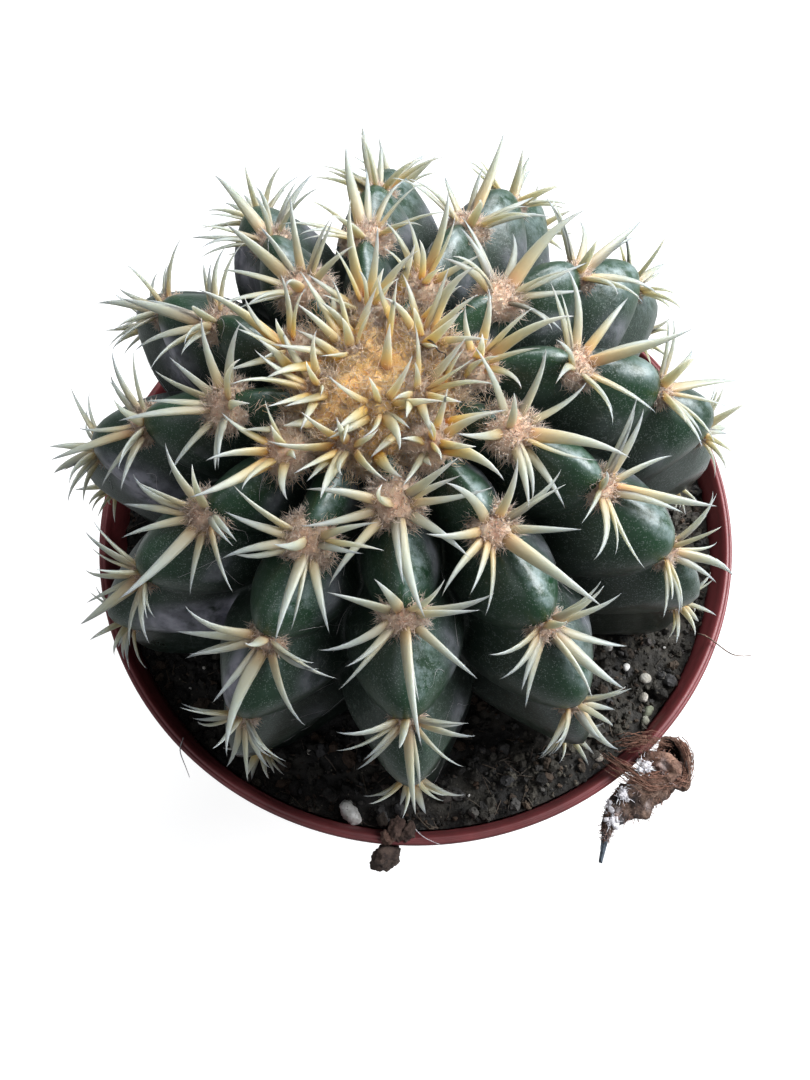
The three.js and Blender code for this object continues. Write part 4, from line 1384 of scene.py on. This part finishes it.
def crown_felt():
    """The ochre lump in the middle, with the wool that stands out of it and between the young areoles."""
    centre = [0, 0, CROWN_CENTRE]
    tilt = np.linspace(CROWN_FOOT, CROWN_TOP, CROWN_ROWS)[:, None]
    rings = ellipsoid(CROWN_SIZE, tilt, turns(CROWN_COLUMNS)) + centre
    rings[..., 2] += bumps(rings.reshape(-1, 3), *CROWN_LUMPS).reshape(CROWN_ROWS, CROWN_COLUMNS)
    points, faces = capped_grid(rings, (0, 0, CROWN_CENTRE - 1), (0, 0, CROWN_CENTRE + CROWN_SIZE[2]))
    felt = marked(points, faces, 0.3, np.clip(0.2 + bumps(points, 2.4, 0.8), 0, 1), 0, 1)
    turn = rng.uniform(0, TURN, CROWN_FIBRES)
    local = ellipsoid(CROWN_SIZE, rng.random(CROWN_FIBRES) ** 0.42 * CROWN_FIBRE_FOOT, turn)
    roots = local + centre
    roots[:, 2] += bumps(roots, *CROWN_LUMPS)
    ribs = rng.integers(RIBS, size=FELT_BETWEEN)
    angles = 82 - 7 * rng.random(FELT_BETWEEN)
    across = rng.uniform(0, 0.75, FELT_BETWEEN)
    between = np.array([skin_point(*place, skin_factor) for place in zip(ribs, angles, across)])
    roots = np.concatenate([roots, between])
    normal = np.concatenate([unit(local / CROWN_SIZE**2), unit(unit(between) + [0, 0, 0.4])])
    count = len(roots)
    way = unit(normal * 0.8 + 0.9 * on_sphere(count))
    lengths = rng.uniform(*CROWN_LENGTHS, count)
    points, faces, shares = curly(roots, way, lengths, rng.uniform(*CROWN_HALVES, count), 3)
    patch = np.clip(bumps(roots + 40, 3.2, 1.0) - 0.05, 0, 1)
    ochre = np.clip(1.05 - 0.35 * fade(8, 20, flat_radius(roots)) + rng.normal(0, 0.15, count), 0, 1)
    return [felt, marked(points, faces, shares, patch, rng.random(count), ochre)]


def sprouts():
    """Short new spines, yellow and orange, that lean out of the crown's wool."""
    out = []
    for number in range(SPROUTS):
        turn = number * GOLDEN_TURN + rng.uniform(-0.3, 0.3)
        radius = CROWN_RADIUS * math.sqrt((number + 0.5) / SPROUTS)
        rise = (CROWN_HEIGHT - 1.4) * math.sqrt(max(0.0, 1 - (radius / CROWN_RADIUS) ** 2))
        root = around(radius, turn, CROWN_CENTRE + rise - 0.4)
        aim = turn + rng.normal(0, 0.9)
        lift = math.radians(rng.uniform(*SPROUT_LIFTS))
        reach = around(math.cos(lift), aim, math.sin(lift)) * rng.uniform(*SPROUT_LENGTHS)
        spot = dict(level=-2, axes=np.eye(3))
        out.append(dict(spot=spot, root=root, reach=reach, width=rng.uniform(*SPROUT_WIDTHS)))
    return out


def grow(name, shapes, material, replaced=()):
    """A piece of several shapes in the stem's axes."""
    points, faces, marks = joined(shapes)
    piece(name, (stand(points), faces, marks), material, replaced)


def make_plant():
    spots = [areole(rib, level) for level in range(-1, LEVELS) for rib in range(RIBS)]
    spots = [spot for spot in spots if clear_of_pot(spot["place"][None], BURIED)[0]]
    young = [spot for spot in spots if spot["level"] < 0]
    grown = [spot for spot in spots if spot["level"] >= 0]
    thicket = Thicket(spots)
    rounds = (
        (young, YOUNG_SPINES, 0),
        (grown, SPINES, 0),
        (young, EXTRA_YOUNG, EXTRA_DRAW),
        (grown, EXTRA_SPINES, EXTRA_DRAW),
    )
    for group, pattern, first in rounds:
        for spot in group:
            for number, wanted in enumerate(pattern, first):
                thicket.place(spot, wanted, number)
    for rib in range(RIBS):
        own = [spot for spot in grown if spot["rib"] == rib]
        nodes = [spot["node"] for spot in own]
        spines = [spine for spine in thicket.spines if spine["spot"]["node"] in nodes]
        grow(f"spines_{rib + 1:02d}", [spine_mesh(spines)], SPINE, nodes)
        grow(f"areole_wool_{rib + 1:02d}", pads_of(own), WOOL)
    young_spines = [spine for spine in thicket.spines if spine["spot"]["level"] < 0]
    grow("crown_spines", [spine_mesh(young_spines + sprouts())], SPINE)
    grow("crown_wool", crown_felt() + pads_of(young), WOOL, ["crown"])


# Dried flower and stray bits


FLOWER_PATH = [
    (36.5, -47.2, 0.9, 0.7),
    (39.4, -47.4, 1.7, 1.3),
    (41.4, -49.3, 1.4, 1.9),
    (39.6, -51.2, 0.4, 2.2),
    (36.2, -52.8, -0.6, 2.7),
    (33.2, -54.6, -1.4, 2.3),
    (31.2, -56.8, -2.0, 1.3),
    (30.1, -59.6, -2.2, 0.6),
    (28.9, -63.4, -2.4, 0.28),
]  # x, y, height above the rim, radius
FLOWER_STEPS = 70
FLOWER_SIDES = 36
FLOWER_LUMPS = (2.2, 0.75, 3)
FLOWER_FELT = (0.8, 0.4)
FLOWER_HAIRS = 800
BARE_TIP = 8
HAIR_LENGTHS = (0.3, 1.1)
HAIR_HALVES = (0.04, 0.08)
BELL_PLACE = np.array([42.0, -48.1, 96.3])
BELL_WAY = unit([-0.62, -0.1, 0.78])
# The way the painted light falls into the cup
BELL_PAINTED_LIGHT_WAY = np.array([0.95, -0.2, 0.0])
BELL_RADIUS = 3.3
BELL_DEPTH = 3.0
BELL_STRETCH = 1.36
BELL_SQUASH = 0.85
BELL_WALL = 0.45
BELL_ROWS = 12
BELL_COLUMNS = 40
BELL_LUMPS = (1.7, 1.0)
BELL_OPENING = 0.62
BELL_SHADE = 0.1
# Painted shade inside the cup, lifting towards the lit side
BELL_INNER_SHADE = 0.95
TUFTS = [
    (36.8, -48.8, 97.6, 110),
    (33.2, -52.8, 96.4, 120),
    (31.2, -54.6, 94.6, 50),
    (31.3, -57.0, 94.4, 50),
]  # place of each white tuft and how many fibres it has
FLOCKS = 8
FLOCK_SIZES = (0.3, 0.75)
FLOCK_WHITENESS = (0.5, 0.95)
TUFT_LENGTHS = (0.4, 1.1)
TUFT_HALVES = (0.05, 0.09)
BAND_STEPS = 7
BAND_HALVES = (0.05, 0.11)
BACK_BAND = [
    (31.2, -47.3, 96.0), (34.2, -49.6, 97.2), (36.9, -51.2, 97.6), (39.6, -51.2, 97.6), (42.2, -49.6, 97.2),
]
FIBRE_BANDS = [
    (BACK_BAND, 60, 0.7),
    ([(33.2, -44.6, 96.4), (36.0, -44.4, 97.4), (38.8, -44.6, 98.0), (42.0, -45.4, 98.2)], 45, 0.7),
    ([(42.4, -44.2, 98.4), (44.0, -46.4, 98.2), (44.2, -49.6, 97.2), (42.6, -52.6, 96.2)], 45, 0.4),
    ([(41.0, -50.8, 98.0), (42.6, -51.6, 97.8), (43.8, -50.6, 97.6), (43.6, -48.8, 98.0)], 25, 0.5),
]  # the line of each band, how many fibres it has, and how far they stray
LUMPS = [
    (-6.6, -61.6, 92.3, 2.3, 0.75, 0.0, 0.0),
    (-6.9, -61.9, 90.6, 1.9, 0.15, 0.14, 0.0),
    (-4.6, -57.4, 95.4, 1.8, 0.76, 0.0, 0.4),
    (-6.0, -58.6, 95.3, 1.2, 0.66, 0.0, 0.6),
    (-2.9, -57.8, 95.1, 1.3, 0.8, 0.0, 0.3),
]  # x, y, z, size, darkness, paleness and redness of each dried lump at the front of the rim
CLOD_LUMPS = (1.3, 0.7, 3)
CLOD_GRAIN = (0.5, 0.3)
THREAD_STEPS = 16
RIGHT_THREAD = [
    (50.4, -25.5, 94.2), (51.6, -26.5, 95.5), (54.7, -29.5, 95.9), (56.7, -30.2, 96.1), (58.8, -30.1, 96.0),
]
LEFT_THREAD = [(-41.1, -41.5, 94.6), (-41.3, -43.8, 95.3), (-40.7, -46.4, 93.0), (-40.4, -48.0, 91.0)]
CROWN_THREAD = [
    (1.7, 0.6, 148.6), (2.4, -0.8, 149.8), (3.0, -1.9, 149.6), (3.9, -2.3, 149.4), (3.4, -3.3, 148.6),
]
THREADS = [
    (RIGHT_THREAD, 0.17, 0.0, 0.1),
    ([(-1.6, -57.4, 95.0), (0.0, -58.8, 95.5), (2.6, -60.0, 95.3)], 0.08, 0.8, 0.0),
    (LEFT_THREAD, 0.12, 0.5, 0.3),
    (CROWN_THREAD, 0.16, 0.0, 0.8),
]  # the line of each stray thread, its half width, paleness and darkness


def bell():
    """The open withered lobe: a torn cup, with painted shade inside that lifts towards the lit side, where
    it is painted a little pale.
    """
    turn = turns(BELL_COLUMNS)
    side = unit(np.cross(BELL_WAY, [0.0, 0.0, 1.0]))
    top = np.cross(side, BELL_WAY)
    torn = 1 + 0.28 * np.sin(2 * turn + 0.8) + 0.16 * np.sin(5 * turn)
    flat = side * BELL_STRETCH * np.cos(turn)[:, None] + BELL_SQUASH * top * np.sin(turn)[:, None]
    inner_shade = np.clip(BELL_INNER_SHADE - BELL_INNER_SHADE * fade(-0.3, 0.5, flat @ BELL_PAINTED_LIGHT_WAY), 0, 1)
    shares = np.linspace(0.08, 1, BELL_ROWS)
    levels = [(BELL_RADIUS, share, np.full(BELL_COLUMNS, BELL_SHADE)) for share in shares]
    levels += [(BELL_RADIUS - BELL_WALL, share, inner_shade) for share in shares[::-1]]
    rings = []
    for radius, share, _ in levels:
        spread = radius * math.sin(share * BELL_OPENING * math.pi)
        depth = BELL_DEPTH * (share - 1) * torn + (radius - BELL_RADIUS) * (share - 1)
        rings.append(BELL_PLACE + flat * spread + BELL_WAY * depth[:, None])
    points = np.concatenate(rings)
    points = points + 0.5 * np.stack([bumps(points + 11 * k, *BELL_LUMPS) for k in range(3)], -1)
    rings = points.reshape(-1, BELL_COLUMNS, 3)
    points, faces = capped_grid(rings, rings[0].mean(0), rings[-1].mean(0))
    dark = np.append(np.concatenate([shade for _, _, shade in levels]), [BELL_SHADE, BELL_INNER_SHADE])
    # Painted light: the inside turns a little pale where its painted shade is light
    pale = 0.3 * fade(0.5, 0.0, dark) * (np.arange(len(points)) >= BELL_ROWS * BELL_COLUMNS)
    return marked(points, faces[:, ::-1], dark, pale)


def hairs(roots, ways, lengths, halves, pale, red):
    points, faces, _ = curly(roots, ways, lengths, halves, 4)
    return marked(points, faces, 0, pale, red)


def white_tufts():
    form = lump_form(2)
    shapes = []
    for *middle, count in TUFTS:
        places = middle + rng.normal(0, 0.45, (FLOCKS, 3)) * [1, 1, 0.3]
        points, faces, _ = lumps_at(places, rng.uniform(*FLOCK_SIZES, FLOCKS), form, 0.12)
        shapes.append(marked(points, faces, 0, rng.uniform(*FLOCK_WHITENESS, FLOCKS)))
        roots = middle + rng.normal(0, 0.6, (count, 3)) * [1, 1, 0.4]
        ways = unit(on_sphere(count) + [0, 0, 0.7])
        halves = rng.uniform(*TUFT_HALVES, count)
        shapes.append(hairs(roots, ways, rng.uniform(*TUFT_LENGTHS, count), halves, 1, 0))
    return shapes


def fibre_bands():
    """Bands of coarse fibres that follow a line, each starting somewhere near its beginning."""
    shapes = []
    for line, count, stray in FIBRE_BANDS:
        middle = smooth_path(line, BAND_STEPS + 2)
        waver = rng.normal(0, stray, (count, 1, 3)) + rng.normal(0, 0.35 * stray, (count, BAND_STEPS + 2, 3))
        starts = rng.integers(0, 3, count)
        paths = np.array([middle[k : k + BAND_STEPS] for k in starts]) + waver[:, :BAND_STEPS] * [1, 1, 0.6]
        halves = rng.uniform(*BAND_HALVES, count)[:, None] * np.linspace(1, 0.4, BAND_STEPS)[None]
        points, faces, _ = tubes(paths, halves, 4, 0.7, on_sphere(count))
        red = rng.uniform(0.3, 1, count)
        shapes.append(marked(points, faces, rng.uniform(0, 0.3, count), 0, red))
    return shapes


def make_dried_flower():
    steps, sides = FLOWER_STEPS, FLOWER_SIDES
    path = smooth_path(FLOWER_PATH, steps)
    middles = path[:, :3] + [0, 0, POT_HEIGHT]
    radii = path[:, 3]
    way = unit(np.gradient(middles, axis=0))
    side = unit(np.cross(way, [0, 0, 1.0]))
    top = np.cross(side, way)
    turn = turns(sides)[None]
    share = np.linspace(0, 1, steps)[:, None]
    folds = 1 + 0.2 * np.sin(3 * turn + 9 * share) + 0.1 * np.sin(7 * turn - 14 * share)
    round_way = side[:, None] * np.cos(turn)[..., None] + top[:, None] * np.sin(turn)[..., None]
    flat = (middles[:, None] + (radii[:, None] * folds)[..., None] * round_way).reshape(-1, 3)
    outward = unit(flat - np.repeat(middles, sides, 0))
    rough = bumps(flat, *FLOWER_LUMPS) + bumps(flat + 20, *FLOWER_FELT)
    flat = flat + outward * (rough * np.repeat(np.clip(radii / 3, 0.1, 1), sides))[:, None]
    points, faces = capped_grid(flat.reshape(steps, sides, 3), middles[0], middles[-1])
    shares = np.append(np.repeat(share, sides), [0, 1])
    dark = 0.55 * fade(0.35, 0.6, shares) * fade(1.0, 0.9, shares) + bumps(points + 30, 2.0, 0.8)
    pale = np.clip(bumps(points + 60, 2.2, 1.6) - 0.4, 0, 1) * 0.25
    columns = (np.clip(dark, 0, 1), pale, np.clip(0.5 - shares, 0, 1), fade(0.8, 0.95, shares))
    shapes = [marked(points, faces[:, ::-1], *columns), bell(), *white_tufts(), *fibre_bands()]
    chosen = rng.integers(0, (steps - BARE_TIP) * sides, FLOWER_HAIRS)
    along = np.repeat(way, sides, 0)[chosen]
    ways = unit(outward[chosen] + 0.9 * on_sphere(FLOWER_HAIRS) + 0.6 * along)
    lengths = rng.uniform(*HAIR_LENGTHS, FLOWER_HAIRS)
    pale = np.clip(pale[chosen] + rng.normal(0.02, 0.12, FLOWER_HAIRS), 0, 1)
    red = rng.uniform(0.2, 1, FLOWER_HAIRS)
    halves = rng.uniform(*HAIR_HALVES, FLOWER_HAIRS)
    shapes.append(hairs(flat[chosen], ways, lengths, halves, pale, red))
    piece("dried_felt_flower", joined(shapes), FELT, ["dried_flower"])


def make_stray_bits():
    """A clod and a dried nub at the front of the rim, and a few threads that lie over it."""
    lumps = np.array(LUMPS)
    points, faces, outward = lumps_at(lumps[:, :3], lumps[:, 3], lump_form(4), 0.0)
    points = points + outward * (bumps(points, *CLOD_LUMPS) + bumps(points + 9, *CLOD_GRAIN))[:, None]
    shapes = [marked(points, faces, *lumps[:, 4:].T)]
    for line, half, pale, dark in THREADS:
        path = smooth_path(line, THREAD_STEPS)[None]
        halves = half * (1 - 0.6 * np.linspace(0, 1, THREAD_STEPS))[None]
        points, faces, _ = tubes(path, halves, 6, 0.8, np.array([[0.0, 0.0, 1.0]]))
        shapes.append(marked(points, faces, dark, pale))
    piece("stray_bits", joined(shapes), FELT)


# Stage, light and camera


SKY_COLOUR = (0.93, 0.96, 1.0, 1)
SKY_STRENGTH = 0.28
FLOOR_SIZE = 6
LAMPS = [
    ("window", (0.38, 0.09, 0.46), 0.40, 6.1, (0.95, 0.98, 1.0)),
    ("back_window", (0.12, 0.42, 0.50), 0.30, 2.6, (0.95, 0.98, 1.0)),
    ("room", (-0.30, -0.30, 0.48), 0.40, 0.35, (0.90, 0.95, 1.0)),
]  # place in metres, breadth, power and colour
LAMP_AIM = Vector((0, 0, 0.1))
CAMERA_PLACE = Vector((-1.93, -62.05, 236.97)) * MM
CAMERA_ELEVATION = math.radians(68.5)
CAMERA_ROLL = -0.027
CAMERA_LENS = 27.03
CAMERA_SENSOR = 36


def make_stage():
    bpy.ops.mesh.primitive_plane_add(size=FLOOR_SIZE)
    floor = bpy.context.object
    floor.name = "floor"
    floor.data.materials.append(PALE_FLOOR)
    world = bpy.data.worlds.new("soft_sky")
    bpy.context.scene.world = world
    world.use_nodes = True
    background = world.node_tree.nodes["Background"]
    background.inputs["Color"].default_value = SKY_COLOUR
    background.inputs["Strength"].default_value = SKY_STRENGTH
    bpy.context.scene.view_settings.view_transform = "Standard"


def make_lights():
    for name, place, size, power, colour in LAMPS:
        lamp = bpy.data.lights.new(name, "AREA")
        lamp.shape = "DISK"
        lamp.size = size
        lamp.energy = power
        lamp.color = colour
        made = bpy.data.objects.new(name, lamp)
        made.location = place
        made.rotation_euler = (LAMP_AIM - Vector(place)).to_track_quat("-Z", "Y").to_euler()
        bpy.context.scene.collection.objects.link(made)


def make_camera():
    camera = bpy.data.cameras.new("camera")
    camera.lens = CAMERA_LENS
    camera.sensor_width = CAMERA_SENSOR
    camera.clip_start = 0.005
    made = bpy.data.objects.new("camera", camera)
    back = Vector((0, -math.cos(CAMERA_ELEVATION), math.sin(CAMERA_ELEVATION)))
    up = Vector((0, math.sin(CAMERA_ELEVATION), math.cos(CAMERA_ELEVATION)))
    right = Vector((1, 0, 0))
    turned_right = right * math.cos(CAMERA_ROLL) + up * math.sin(CAMERA_ROLL)
    turned_up = up * math.cos(CAMERA_ROLL) - right * math.sin(CAMERA_ROLL)
    turned = Matrix((turned_right, turned_up, back)).transposed().to_4x4()
    made.matrix_world = Matrix.Translation(CAMERA_PLACE) @ turned
    bpy.context.scene.collection.objects.link(made)
    bpy.context.scene.camera = made


make_stage()
make_camera()
make_lights()
make_pot()
make_soil()
make_crumbs()
make_stones()
make_peat_threads()
make_stem()
make_cobwebs()
make_plant()
make_dried_flower()
make_stray_bits()
